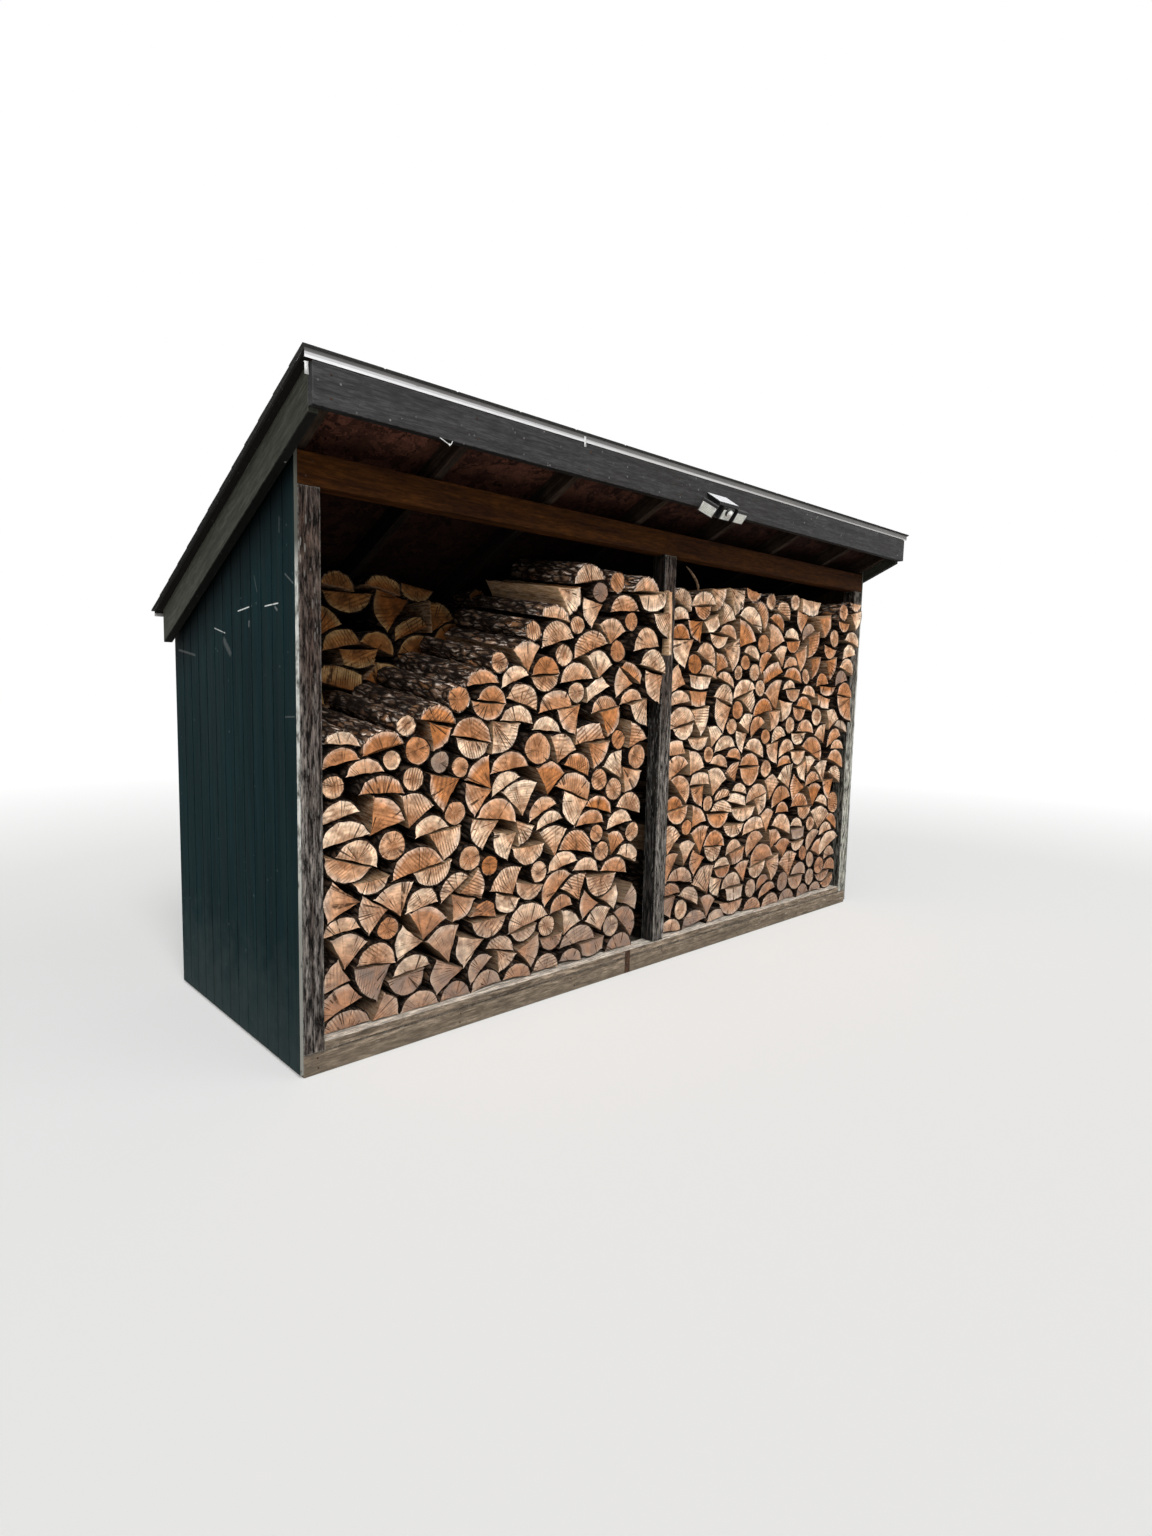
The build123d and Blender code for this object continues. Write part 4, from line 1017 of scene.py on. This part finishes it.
def plateField(rows, columns, rng):
    # Random plates a few steps wide and long, with their borders eased once
    tall, wide = firewood["plateSteps"]
    plates = rng.random((rows // tall + 2, columns // wide + 2))
    plates = np.repeat(np.repeat(plates, tall, axis=0), wide, axis=1)[:rows, :columns]
    return (2 * plates + np.roll(plates, 1, axis=0) + np.roll(plates, 1, axis=1)) / 4 - 0.5


def openShares(ends):
    # Share of each log's width with no other log above it
    places = np.concatenate([outline[:, 0] for outline, *_ in ends])
    columns = np.arange(places.min(), places.max(), firewood["columnWidth"])
    best = np.full(len(columns), -1.0)
    owner = np.full(len(columns), -1)
    for number, (outline, *_) in enumerate(ends):
        ring = np.roll(outline, -int(np.argmax(outline[:, 0])), axis=0)
        upper = ring[: int(np.argmin(ring[:, 0])) + 1][::-1]
        inside = (columns > upper[0, 0]) & (columns < upper[-1, 0])
        height = np.interp(columns, upper[:, 0], upper[:, 1])
        taken = inside & (height > best)
        best[taken] = height[taken]
        owner[taken] = number
    widths = np.array([np.ptp(outline[:, 0]) for outline, *_ in ends])
    return np.bincount(owner[owner >= 0], minlength=len(ends)) * firewood["columnWidth"] / widths


def redrawLog(outline, front, rear, shift, size, isOpen, rng):
    # The end outline carried from front to rear: moved outwards by slow waves and plates, shrunk and shifted
    # by its share of the length, and tilted at both ends, with a strip of bark round the sawn end
    step, rough, inner = firewood["step"], firewood["barkRough"], firewood["innerRings"]
    if isOpen:
        step, rough = firewood["openStep"], firewood["openRough"]
        inner = np.linspace(0.0, 1.0, max(4, int((rear - front) / firewood["ringSpacing"])))[1:-1]
    outline, bark, pith = readLog(outline, rng)
    ends, tags = refineEnd(outline, bark, pith, step, rng)
    count = len(ends)
    normals = outlineNormals(ends)
    underBark = tags & np.roll(tags, 1)
    middle = ends.mean(axis=0)
    edge = firewood["roundOff"]
    between = front + (rear - front) * np.array(inner)
    along = np.concatenate([[front, front + edge], between, [rear - edge, rear]])
    relief = waveField((np.arange(count) / count)[None], along[:, None], rng)
    relief = relief * np.where(underBark, rough, rough * 0.35)
    if isOpen:
        plates = plateField(len(along), count, rng) * firewood["plateRelief"]
        relief = relief + plates * np.where(underBark, 1.0, 0.25)
    rings = ends + normals * (relief - rough * 0.6)[:, :, None]
    rings[[0, -1]] -= normals * edge * 0.6
    share = ((along - front) / (rear - front))[:, None, None]
    rings = middle + (rings - middle) * (1 + (size - 1) * share) + shift * share
    tilt = rng.normal(0.0, firewood["endTilt"], (2, 2)).clip(-firewood["tiltLimit"], firewood["tiltLimit"])
    depth = np.repeat(along[:, None], count, axis=1)
    depth[:2] += (rings[:2] - middle) @ tilt[0]
    depth[-2:] += (rings[-2:] - middle - shift) @ tilt[1]
    cap = rings[0] - normals * np.where(underBark, firewood["barkThickness"], firewood["cutDepth"])[:, None]
    points = np.concatenate([
        np.dstack([rings[:, :, 0], depth, rings[:, :, 1]]).reshape(-1, 3),
        np.column_stack([cap[:, 0], front + (cap - middle) @ tilt[0], cap[:, 1]]),
    ])
    here, beside, beyond, over = ringQuads(len(along), count)
    sides = np.stack([here, over, beyond, beside], axis=2)
    last = len(along) * count
    strip = np.stack([here[0], beside[0], last + beside[0], last + here[0]], axis=1)
    loops = np.concatenate([sides.ravel(), strip.ravel(), last + here[0], (last - count + here[0])[::-1]])
    sizes = np.concatenate([np.full(sides.shape[0] * count + count, 4), [count, count]])
    kinds = np.concatenate([np.tile(np.where(tags, 1, 2), sides.shape[0]), np.where(tags, 1, 0), [0, 0]])
    run = np.concatenate([[0.0], np.cumsum(np.linalg.norm(np.roll(ends, -1, axis=0) - ends, axis=1))])
    offset = rng.uniform(0, 9, 2)
    u = np.broadcast_to(np.stack([run[:-1], run[:-1], run[1:], run[1:]], axis=1), sides.shape) + offset[0]
    low, high = along[:-1, None, None], along[1:, None, None]
    v = np.broadcast_to(np.concatenate([low, high, high, low], axis=2), sides.shape) + offset[1]
    flat = points[loops[sides.size:]][:, [0, 2]] - pith
    uv = np.concatenate([np.stack([u, v], axis=3).reshape(-1, 2), flat])
    return points, loops, sizes, kinds, uv, np.linalg.norm(outline - pith, axis=1).max()


def finishLogs(mesh, uv, tint, bare):
    # Grain map, tone, greyness, seed and radius of each log, and whether its side lies open
    layer = mesh.uv_layers.new(name="grain")
    layer.uv.foreach_set("vector", uv.astype(np.float32).ravel())
    tints = mesh.attributes.new("logTint", "FLOAT_COLOR", "POINT")
    tints.data.foreach_set("color", tint.astype(np.float32).ravel())
    opens = mesh.attributes.new("openSide", "FLOAT", "POINT")
    opens.data.foreach_set("value", bare.astype(np.float32))
    smoothed(mesh, firewood["sharpFrom"])


def makeStack(node, name, seed, toneScale, materials):
    rng = np.random.default_rng(seed)
    ends = [endsOf(solid) for solid in solidsOf(node)]
    isOpen = openShares(ends) > firewood["openShare"]
    collected = []
    count = 0
    for entry, bare in zip(ends, isOpen):
        points, loops, sizes, kinds, uv, reach = redrawLog(*entry, bare, rng)
        tone = rng.beta(1.05, 1.25)
        if rng.random() < firewood["paleShare"]:
            tone = rng.uniform(0.85, 1.0)
        low = (firewood["soiledBelow"] - entry[0][:, 1].mean()) / firewood["soiledBelow"]
        grey = min(1.0, max(0.0, low) * rng.uniform(0.6, 1.4))
        if rng.random() < firewood["greyShare"]:
            grey = rng.uniform(0.6, 1.0)
        # A low tone scale darkens the rear stacks with painted shade
        tint = np.tile([tone * toneScale, grey, rng.random(), reach], (len(points), 1))
        collected.append((points, loops + count, sizes, kinds, uv, tint, np.full(len(points), float(bare))))
        count += len(points)
    points, loops, sizes, kinds, uv, tint, bare = (np.concatenate(part) for part in zip(*collected))
    mesh = meshFrom(name, points, loops, sizes, materials, kinds)
    finishLogs(mesh, uv, tint, bare)
    addPiece(name, mesh, "split_logs", node)
    triangles = int((sizes - 2).sum())
    print(name, len(ends), "logs,", int(isOpen.sum()), "with bare sides,", triangles, "triangles")


def grainOf(material):
    return first(addNode("UVMap", {}, material.node_tree, uv_map="grain"))


def tintOf(material):
    # Tone, greyness and seed of a log, and its radius
    tint = attributeOf(material, "logTint")
    return *channelsOf(tint["Color"]), tint["Alpha"]


sawnEnds = {
    "orange": (0.53, 0.190, 0.052), "straw": (1.0, 0.77, 0.55), "heart": (0.41, 0.150, 0.044),
    "bands": (0.31, 0.115, 0.038), "rim": (1.0, 0.86, 0.71), "rings": (0.27, 0.11, 0.042),
    "damp": (0.26, 0.100, 0.038), "saw": (0.235, 0.096, 0.038), "aged": (0.255, 0.190, 0.155),
    "spots": (0.085, 0.038, 0.016), "cracks": (0.040, 0.018, 0.008), "rearPaintedShade": (0.47, 0.40, 0.23),
    "rearRow": (0.62, 0.66), "bump": 0.0026,
}


def makeEndGrain():
    # Each log has a tone from orange to straw, a darker heart, a pale rim, rings, saw marks, cracks and
    # stains, and the rear row is darkened with painted shade. The bump adds fine noise and rings, less saw
    # marks and cracks
    material = newMaterial("sawnEnds", rough=0.85, shine=0.18)
    grain = grainOf(material)
    fresh, grey, seed, radius = tintOf(material)
    rings = useGroup(growthRings, {"Vector": grain, "Seed": seed, "Reach": radius})
    moved = vectorCalc("ADD", grain, combined(seed * 71.0, seed, 0.0))
    saw = rings["Saw"] * spread(seed, 0.35, 0.85, 0.16, 0.85)
    damp = spread(noiseOf(moved, 13.0), 0.54, 0.66)
    patches = spread(noiseOf(moved, 12.0, 3.0, 0.6), 0.35, 0.6)
    spots = spread(noiseOf(moved, 95.0, 3.0, 0.7), 0.60, 0.70)
    tone = blend(fresh, sawnEnds["orange"], sawnEnds["straw"])
    tone = layered(tone, (rings["Heart"], 0.55, sawnEnds["heart"]), (rings["Bands"], 0.58, sawnEnds["bands"]),
                   (rings["Rim"], 0.55, sawnEnds["rim"]), (rings["Rings"], 0.26, sawnEnds["rings"]))
    tone = shaded(tone, spread(noiseOf(moved, 21.0, 4.0, 0.6), 0.32, 0.68, 0.54, 1.66))
    tone = layered(tone, (damp, 0.6, sawnEnds["damp"]))
    tone = blend(saw, tone, sawnEnds["saw"])
    tone = layered(tone, (grey, spread(patches, 0.0, 1.0, 0.55, 1.0), sawnEnds["aged"]),
                   (spots, 0.42, sawnEnds["spots"]), (rings["Cracks"], 0.9, sawnEnds["cracks"]))
    # Painted shade: the rear row is darkened
    rearward = spread(partsOf(objectCoords(material))["Y"], *sawnEnds["rearRow"])
    tone = blend(rearward, tone, shaded(tone, sawnEnds["rearPaintedShade"]))
    height = rings["Rings"] * 0.2 + noiseOf(moved, 70.0, 4.0, 0.7) - saw - rings["Cracks"]
    return finished(material, tone, height, 1.0, sawnEnds["bump"])


barkPlates = {
    "ridgeDark": (0.016, 0.007, 0.004), "ridgeLight": (0.215, 0.118, 0.070),
    "plateDark": (0.030, 0.014, 0.008), "plateLight": (0.330, 0.220, 0.150),
    "inner": (0.330, 0.155, 0.065), "flake": (0.80, 0.67, 0.57),
    "furrow": (0.006, 0.003, 0.002), "bend": (0.028, 0.04, 0.0), "plateScale": 36.0, "bump": 0.0055,
}


def makeBark():
    # Plates: long bent cells, each with its own tone. Furrows: the rims of the cells. Flakes: pale raised
    # scales. Open sides in the front row are lit, all others lie in shade
    material = newMaterial("furrowedBark", rough=0.95, shine=0.10)
    grain = grainOf(material)
    bend = wiresOf(addNode("TexNoise", {"Vector": grain, "Scale": 24.0, "Detail": 3.0}))["Color"]
    bent = vectorCalc("ADD", grain, scaled(vectorCalc("SUBTRACT", bend, (0.5, 0.5, 0.5)), barkPlates["bend"]))
    drawn = scaled(bent, (1.0, 0.30, 1.0))
    plate = spread(cellsOf(drawn, barkPlates["plateScale"], "DISTANCE_TO_EDGE")["Distance"], 0.06, 0.30)
    chance = channelsOf(cellsOf(drawn, barkPlates["plateScale"])["Color"])[0]
    ridges = noiseOf(drawn, 62.0, 5.0, 0.72, 0.5)
    inner = spread(noiseOf(grain, 8.0, 4.0, 0.6), 0.56, 0.62)
    flakes = spread(noiseOf(scaled(bent, (1.0, 0.20, 1.0)), 58.0, 3.0, 0.62), 0.53, 0.57)
    front = spread(partsOf(objectCoords(material))["Y"], 0.02, 0.42, 1.0, 0.35)
    lit = attributeOf(material, "openSide")["Fac"] * front
    tone = blend(spread(ridges, 0.36, 0.64), barkPlates["ridgeDark"], barkPlates["ridgeLight"])
    tone = blend(0.5, tone, blend(chance, barkPlates["plateDark"], barkPlates["plateLight"]))
    tone = layered(tone, (inner, 0.6, barkPlates["inner"]),
                   (flakes, spread(lit, 0.0, 1.0, 0.20, 0.95), barkPlates["flake"]))
    tone = blend(spread(plate, 0.0, 1.0, 0.96, 0.0), tone, barkPlates["furrow"])
    tone = shaded(tone, spread(noiseOf(grain, 9.0), 0.35, 0.65, 0.45, 1.35),
                  spread(lit, 0.0, 1.0, 0.36, 1.60))
    return finished(material, tone, plate * 0.9 + ridges * 0.7 + flakes * 0.35, 1.0, barkPlates["bump"])


splitFaces = {
    "dark": (0.30, 0.115, 0.036), "light": (0.62, 0.38, 0.19), "streaks": (0.15, 0.058, 0.024),
    "mottle": (0.86, 0.64, 0.43), "aged": (0.20, 0.145, 0.11), "checks": (0.04, 0.020, 0.010), "bump": 0.0035,
}


def makeSplitWood():
    # The log's tone with dark streaks, pale mottle, fibres, greyness and checks. Covered sides are darker
    # with painted shade, open sides lighter with painted light
    material = newMaterial("splitFaces", rough=0.88, shine=0.15)
    fresh, grey, *_ = tintOf(material)
    fibre = useGroup(timberFibre, {"Vector": grainOf(material), "Along": (1.0, 0.05, 1.0), "Knots": 0.5})
    tone = layered(blend(fresh, splitFaces["dark"], splitFaces["light"]),
                   (fibre["Streaks"], 0.85, splitFaces["streaks"]),
                   (fibre["Mottle"], 0.60, splitFaces["mottle"]))
    tone = shaded(tone, spread(fibre["Fibres"], 0.3, 0.7, 0.7, 1.25))
    tone = layered(tone, (grey, 0.6, splitFaces["aged"]), (fibre["Checks"], 0.8, splitFaces["checks"]))
    # Painted shade on covered sides, painted light on open ones
    tone = shaded(tone, spread(attributeOf(material, "openSide")["Fac"], 0.0, 1.0, 0.50, 1.2))
    height = fibre["Streaks"] + fibre["Fibres"] * 0.6 - fibre["Checks"]
    return finished(material, tone, height, 1.0, splitFaces["bump"])


# Dressing of the solids that stay: the ones that share a finish, and how far their edges are rounded

frameParts = {
    "posts": [f"{row}_post_{side}" for row in ("front", "rear") for side in ("left", "middle", "right")],
    "lengthwise": ["front_sill_left", "front_sill_right", "rear_sill", "bearer_left", "bearer_right",
                   "bearer_board", "front_board_left", "front_board_right", "rear_board"],
    "crosswise": ["left_sill", "middle_sill", "right_sill"],
    "header": ["header_beam"],
    "fascia": ["fascia"],
    "barges": ["barge_board_left", "barge_board_right"],
    "heavyWidth": 0.0035, "trimWidth": 0.0025, "weldDistance": 0.00005, "softenFrom": 30.0,
}


def dress(names, material):
    for name in names:
        piece = nodes[name]
        if not piece.material_slots:
            piece.data.materials.append(None)
        for slot in piece.material_slots:
            slot.material = material


def softenEdges(names, width):
    for name in names:
        weld = nodes[name].modifiers.new("weld", "WELD")
        weld.merge_threshold = frameParts["weldDistance"]
        bevel = nodes[name].modifiers.new("soften", "BEVEL")
        bevel.width = width
        bevel.segments = 2
        bevel.limit_method = "ANGLE"
        bevel.angle_limit = math.radians(frameParts["softenFrom"])
        bevel.harden_normals = True


def dressFrame():
    slope = shingleRoof["pitch"]
    dress(frameParts["posts"], makeTimber("weatheredPost", "Z"))
    dress(frameParts["lengthwise"], makeTimber("baseTimber", "X"))
    dress(frameParts["crosswise"], makeTimber("baseTimber", "Y"))
    dress(frameParts["header"], makeTimber("stainedBeam", "X"))
    dress(frameParts["fascia"], makeTimber("charcoalTrim", "X"))
    dress(frameParts["barges"] + ["barge_packing"], makeTimber("bargeTrim", "Y", slope))
    dress(["rear_beam", "wall_rails"], makeTimber("roughTimber", "X"))
    dress(["rafters"], makeTimber("roughTimber", "Y", slope))
    dress(["wall_left", "wall_right", "wall_rear"], makeSiding())
    dress(["roof_deck_lower", "roof_deck_upper"], makeStrandBoard())
    dress(["drip_edge_front", "drip_edge_rear"], makeDripMetal())
    dress(["joint_strap"], makeRustyStrap("rustyStrap"))
    dress(["lamp_housing", "lamp_sensor", *lampParts["heads"]], makeBlackPlastic())
    dress(["lamp_solar_panel"], makeSolarGlass())
    for part in ("posts", "lengthwise", "crosswise", "header"):
        softenEdges(frameParts[part], frameParts["heavyWidth"])
    softenEdges(frameParts["fascia"] + frameParts["barges"], frameParts["trimWidth"])
    print("frame dressed")


# Lamp: a rim, a plate and cells on the flat side of each head, and a dome of radius and height on the sensor

lampParts = {
    "heads": {
        "lamp_head_left": (-0.77, -0.50, -0.40),
        "lamp_head_middle": (0.0, -0.78, -0.63),
        "lamp_head_right": (0.0, -0.78, -0.63),
    },
    "up": (0.0, -0.629, 0.777), "side": 0.004, "chin": 0.004, "brow": 0.0135, "rim": 0.0034,
    "rimHeight": 0.0022, "plate": 0.0008, "columns": 10, "rows": 6, "gap": 0.0016, "cellHeight": 0.0016,
    "sunk": 0.0006,
    "sensorToward": (0.0, -0.78, -0.63),
    "sensorProfile": [(0.0175, -0.0006), (0.0175, 0.0016), (0.0140, 0.0024), (0.0122, 0.0024),
                      (0.0120, 0.0050), (0.0108, 0.0084), (0.0080, 0.0110), (0.0040, 0.0124),
                      (0.0012, 0.0127)],
    "sensorSides": 24, "sharpFrom": 50.0,
}


def flatSide(name, toward):
    # Middle, right, up and outward directions and half sizes of the flat side that looks most that way
    points, triangles = trianglesOf(name)
    corners = points[triangles]
    outward = np.cross(corners[:, 1] - corners[:, 0], corners[:, 2] - corners[:, 0])
    outward /= np.linalg.norm(outward, axis=1, keepdims=True)
    best = outward[np.argmax(outward @ np.array(toward))]
    spots = corners[outward @ best > 0.999].reshape(-1, 3)
    up = np.array(lampParts["up"])
    up = up - best * (best @ up)
    up /= np.linalg.norm(up)
    right = np.cross(up, best)
    across, along = spots @ right, spots @ up
    middle = right * (across.min() + across.max()) / 2 + up * (along.min() + along.max()) / 2
    return middle + best * (spots @ best).mean(), right, up, best, np.ptp(across) / 2, np.ptp(along) / 2


def makeLampFaces(rimMaterial, plateMaterial, cellMaterial):
    # Blocks laid on each head: four bars round a plate, and a grid of cells with equal gaps on it
    parts, kinds = [], []
    rim, top, sunk = lampParts["rim"], lampParts["rimHeight"], -lampParts["sunk"]
    for name, toward in lampParts["heads"].items():
        middle, right, up, outward, halfWidth, halfHeight = flatSide(name, toward)
        left, edge = lampParts["side"] - halfWidth, halfWidth - lampParts["side"]
        low, high = lampParts["chin"] - halfHeight, halfHeight - lampParts["brow"]
        bars = [((left, low, sunk), (left + rim, high, top)), ((edge - rim, low, sunk), (edge, high, top)),
                ((left + rim, low, sunk), (edge - rim, low + rim, top)),
                ((left + rim, high - rim, sunk), (edge - rim, high, top))]
        plate = [((left + rim, low + rim, sunk), (edge - rim, high - rim, lampParts["plate"]))]
        columns = np.linspace(left + rim, edge - rim, lampParts["columns"] + 1)
        rows = np.linspace(low + rim, high - rim, lampParts["rows"] + 1)
        gap = lampParts["gap"] / 2
        cells = [((a + gap, c + gap, 0.0), (b - gap, d - gap, lampParts["cellHeight"]))
                 for a, b in zip(columns, columns[1:]) for c, d in zip(rows, rows[1:])]
        for kind, group in enumerate((bars, plate, cells)):
            flat, loops, sizes = boxes(*zip(*group))
            points = middle + flat[:, :1] * right + flat[:, 1:2] * up + flat[:, 2:] * outward
            parts.append((points, loops, sizes))
            kinds.append(kind)
    mesh = joined("lampFaces", parts, [rimMaterial, plateMaterial, cellMaterial], kinds)
    addPiece("lampFaces", mesh, "lamp_face")
    axes = flatSide("lamp_sensor", lampParts["sensorToward"])[:4]
    dome = turned(lampParts["sensorProfile"], lampParts["sensorSides"], *axes)
    mesh = joined("sensorDome", [dome], [rimMaterial])
    smoothed(mesh, lampParts["sharpFrom"])
    addPiece("sensorDome", mesh, "lamp_face")


# Fixings: nail heads, a bent nail with a bead on it, and metal tabs of two corners and a flange each

fixings = {
    "nailRadius": 0.0042, "nailHeight": 0.0014, "nailSides": 10, "edgeDistance": 0.032, "seed": 5,
    "rafterStart": 0.06, "rafterSpacing": 0.610, "sillStart": 0.045, "sillSpacing": 0.695,
    "sillHeights": (0.28, 0.74), "postMiddle": 0.045, "postNails": (-0.012, 0.014),
    "looseNails": [(-2.066, 0.0, 2.129), (-0.108, 0.0, 0.112), (-0.247, -0.0025, 0.112),
                   (-0.247, -0.0025, 0.046)],
    "bentNail": [(-1.668, -0.255, 2.462), (-1.660, -0.258, 2.456), (-1.634, -0.260, 2.445),
                 (-1.606, -0.260, 2.434), (-1.599, -0.260, 2.437), (-1.593, -0.259, 2.448),
                 (-1.591, -0.257, 2.460)],
    "bentNailRadius": 0.0018, "bead": [(0.0022, 0.0), (0.0046, 0.002), (0.0046, 0.005), (0.0020, 0.007)],
    "tabs": [((-2.176, -0.2640, 2.538), (-2.164, -0.2625, 2.577), 0.010),
             ((-0.914, -0.2645, 2.572), (-0.904, -0.2630, 2.614), 0.012)],
    "tabTaper": 0.0025, "flangeHeight": 0.0015,
}


def makeFixings(nailMetal, tabMetal):
    # Nail heads in pairs over the rafters, along the front sill and on the header over the posts
    rng = np.random.default_rng(fixings["seed"])
    spots = list(fixings["looseNails"])
    inset = fixings["edgeDistance"]
    low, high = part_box("fascia")
    for x in np.arange(low.x + fixings["rafterStart"], high.x, fixings["rafterSpacing"]):
        spots += [(x + rng.uniform(-0.01, 0.01), low.y, z) for z in (low.z + inset, high.z - inset)]
    low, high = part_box("front_sill_left")
    for x in np.arange(low.x + fixings["sillStart"], -low.x, fixings["sillSpacing"]):
        spots += [(x + rng.uniform(-0.02, 0.02), low.y, low.z + (high.z - low.z) * share)
                  for share in fixings["sillHeights"]]
    low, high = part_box("header_beam")
    lower, upper = fixings["postNails"]
    for x in (low.x + fixings["postMiddle"], 0.0, high.x - fixings["postMiddle"]):
        spots += [(x + lower, low.y, low.z + inset), (x + upper, low.y, high.z - inset)]
    radius, height = fixings["nailRadius"], fixings["nailHeight"]
    profile = [(radius, -0.0004), (radius, height * 0.4), (radius * 0.7, height),
               (radius * 0.2, height * 0.8)]
    axes = np.array([1.0, 0, 0]), np.array([0, 0, 1.0]), np.array([0, -1.0, 0])
    heads = [turned(profile, fixings["nailSides"], np.array(spot), *axes) for spot in spots]
    addPiece("nailHeads", joined("nailHeads", heads, [nailMetal]), "rusty_strap")

    path = np.array(fixings["bentNail"])
    nail = swept(path, np.full(len(path), fixings["bentNailRadius"]), 8)
    bead = turned(fixings["bead"], fixings["nailSides"], path[3] + (0.0, 0.003, 0.0), *axes)
    addPiece("bentNail", joined("bentNail", [nail, bead], [tabMetal]), "drip_metal")

    lows, highs = [], []
    for start, end, flange in fixings["tabs"]:
        lows += [start, (start[0], start[1], end[2])]
        highs += [end, (end[0], start[1] + flange, end[2] + fixings["flangeHeight"])]
    tabs = boxes(lows, highs)
    tabs[0].reshape(-1, 8, 3)[:, :2, 0] += fixings["tabTaper"]
    addPiece("metalTabs", joined("metalTabs", [tabs], [tabMetal]), "drip_metal")


# Loose wood: a split slab leaning against the middle post and a bent strip of bark on the right stack.
# Tints are tone, greyness, seed and radius

looseWood = {
    "seed": 6, "slab": [(-0.047, 1.720), (-0.021, 1.714), (-0.037, 2.050), (-0.069, 2.058)],
    "slabDepths": (-0.046, -0.0025), "slabTint": (0.9, 0.1, 0.3, 0.4),
    "strip": [(0.262, 0.11, 2.232), (0.288, 0.108, 2.214), (0.318, 0.104, 2.188), (0.342, 0.10, 2.160),
              (0.360, 0.10, 2.128), (0.366, 0.10, 2.100)],
    "stripRadius": 0.0045, "stripShares": (0.35, 0.8, 1.0, 1.0, 0.9, 0.5), "stripSides": 8,
    "stripStretch": 2.2, "stripTint": (0.9, 0.7, 0.6, 0.4),
}


def makeLooseWood(materials):
    # The slab is a log like the others, the strip a bar along a path, stretched in depth
    rng = np.random.default_rng(looseWood["seed"])
    slab = np.array(looseWood["slab"]), *looseWood["slabDepths"], np.zeros(2), 1.0
    points, loops, sizes, kinds, uv, _ = redrawLog(*slab, False, rng)
    mesh = meshFrom("leaningSlab", points, loops, sizes, materials, np.where(kinds == 1, 2, kinds))
    finishLogs(mesh, uv, np.tile(looseWood["slabTint"], (len(points), 1)), np.ones(len(points)))
    addPiece("leaningSlab", mesh, "split_logs")
    sides = looseWood["stripSides"]
    radii = looseWood["stripRadius"] * np.array(looseWood["stripShares"])
    points, loops, sizes = swept(looseWood["strip"], radii, sides)
    middle = np.repeat(np.array(looseWood["strip"])[:, 1], sides)
    points[:, 1] = middle + (points[:, 1] - middle) * looseWood["stripStretch"]
    mesh = meshFrom("barkStrip", points, loops, sizes, [materials[2]])
    tint = np.tile(looseWood["stripTint"], (len(points), 1))
    finishLogs(mesh, points[loops][:, [0, 2]], tint, np.ones(len(points)))
    addPiece("barkStrip", mesh, "split_logs")


makeCamera()
makeFloor()
makeSurroundings()
makeLights()
dressFrame()
makeShingleRoof(makeShingleGranules())
print("roof laid")
logMaterials = [makeEndGrain(), makeBark(), makeSplitWood()]
for node, (name, seed, toneScale) in firewood["stacks"].items():
    makeStack(node, name, seed, toneScale, logMaterials)
makeLooseWood(logMaterials)
makeLampFaces(makePalePlastic("lampRim", "rim"), makePalePlastic("lampPlate", "plate"),
              makePalePlastic("lampCells", "cells"))
makeFixings(makeRustyStrap("nailMetal"), makeBrightMetal())
print("small parts made")
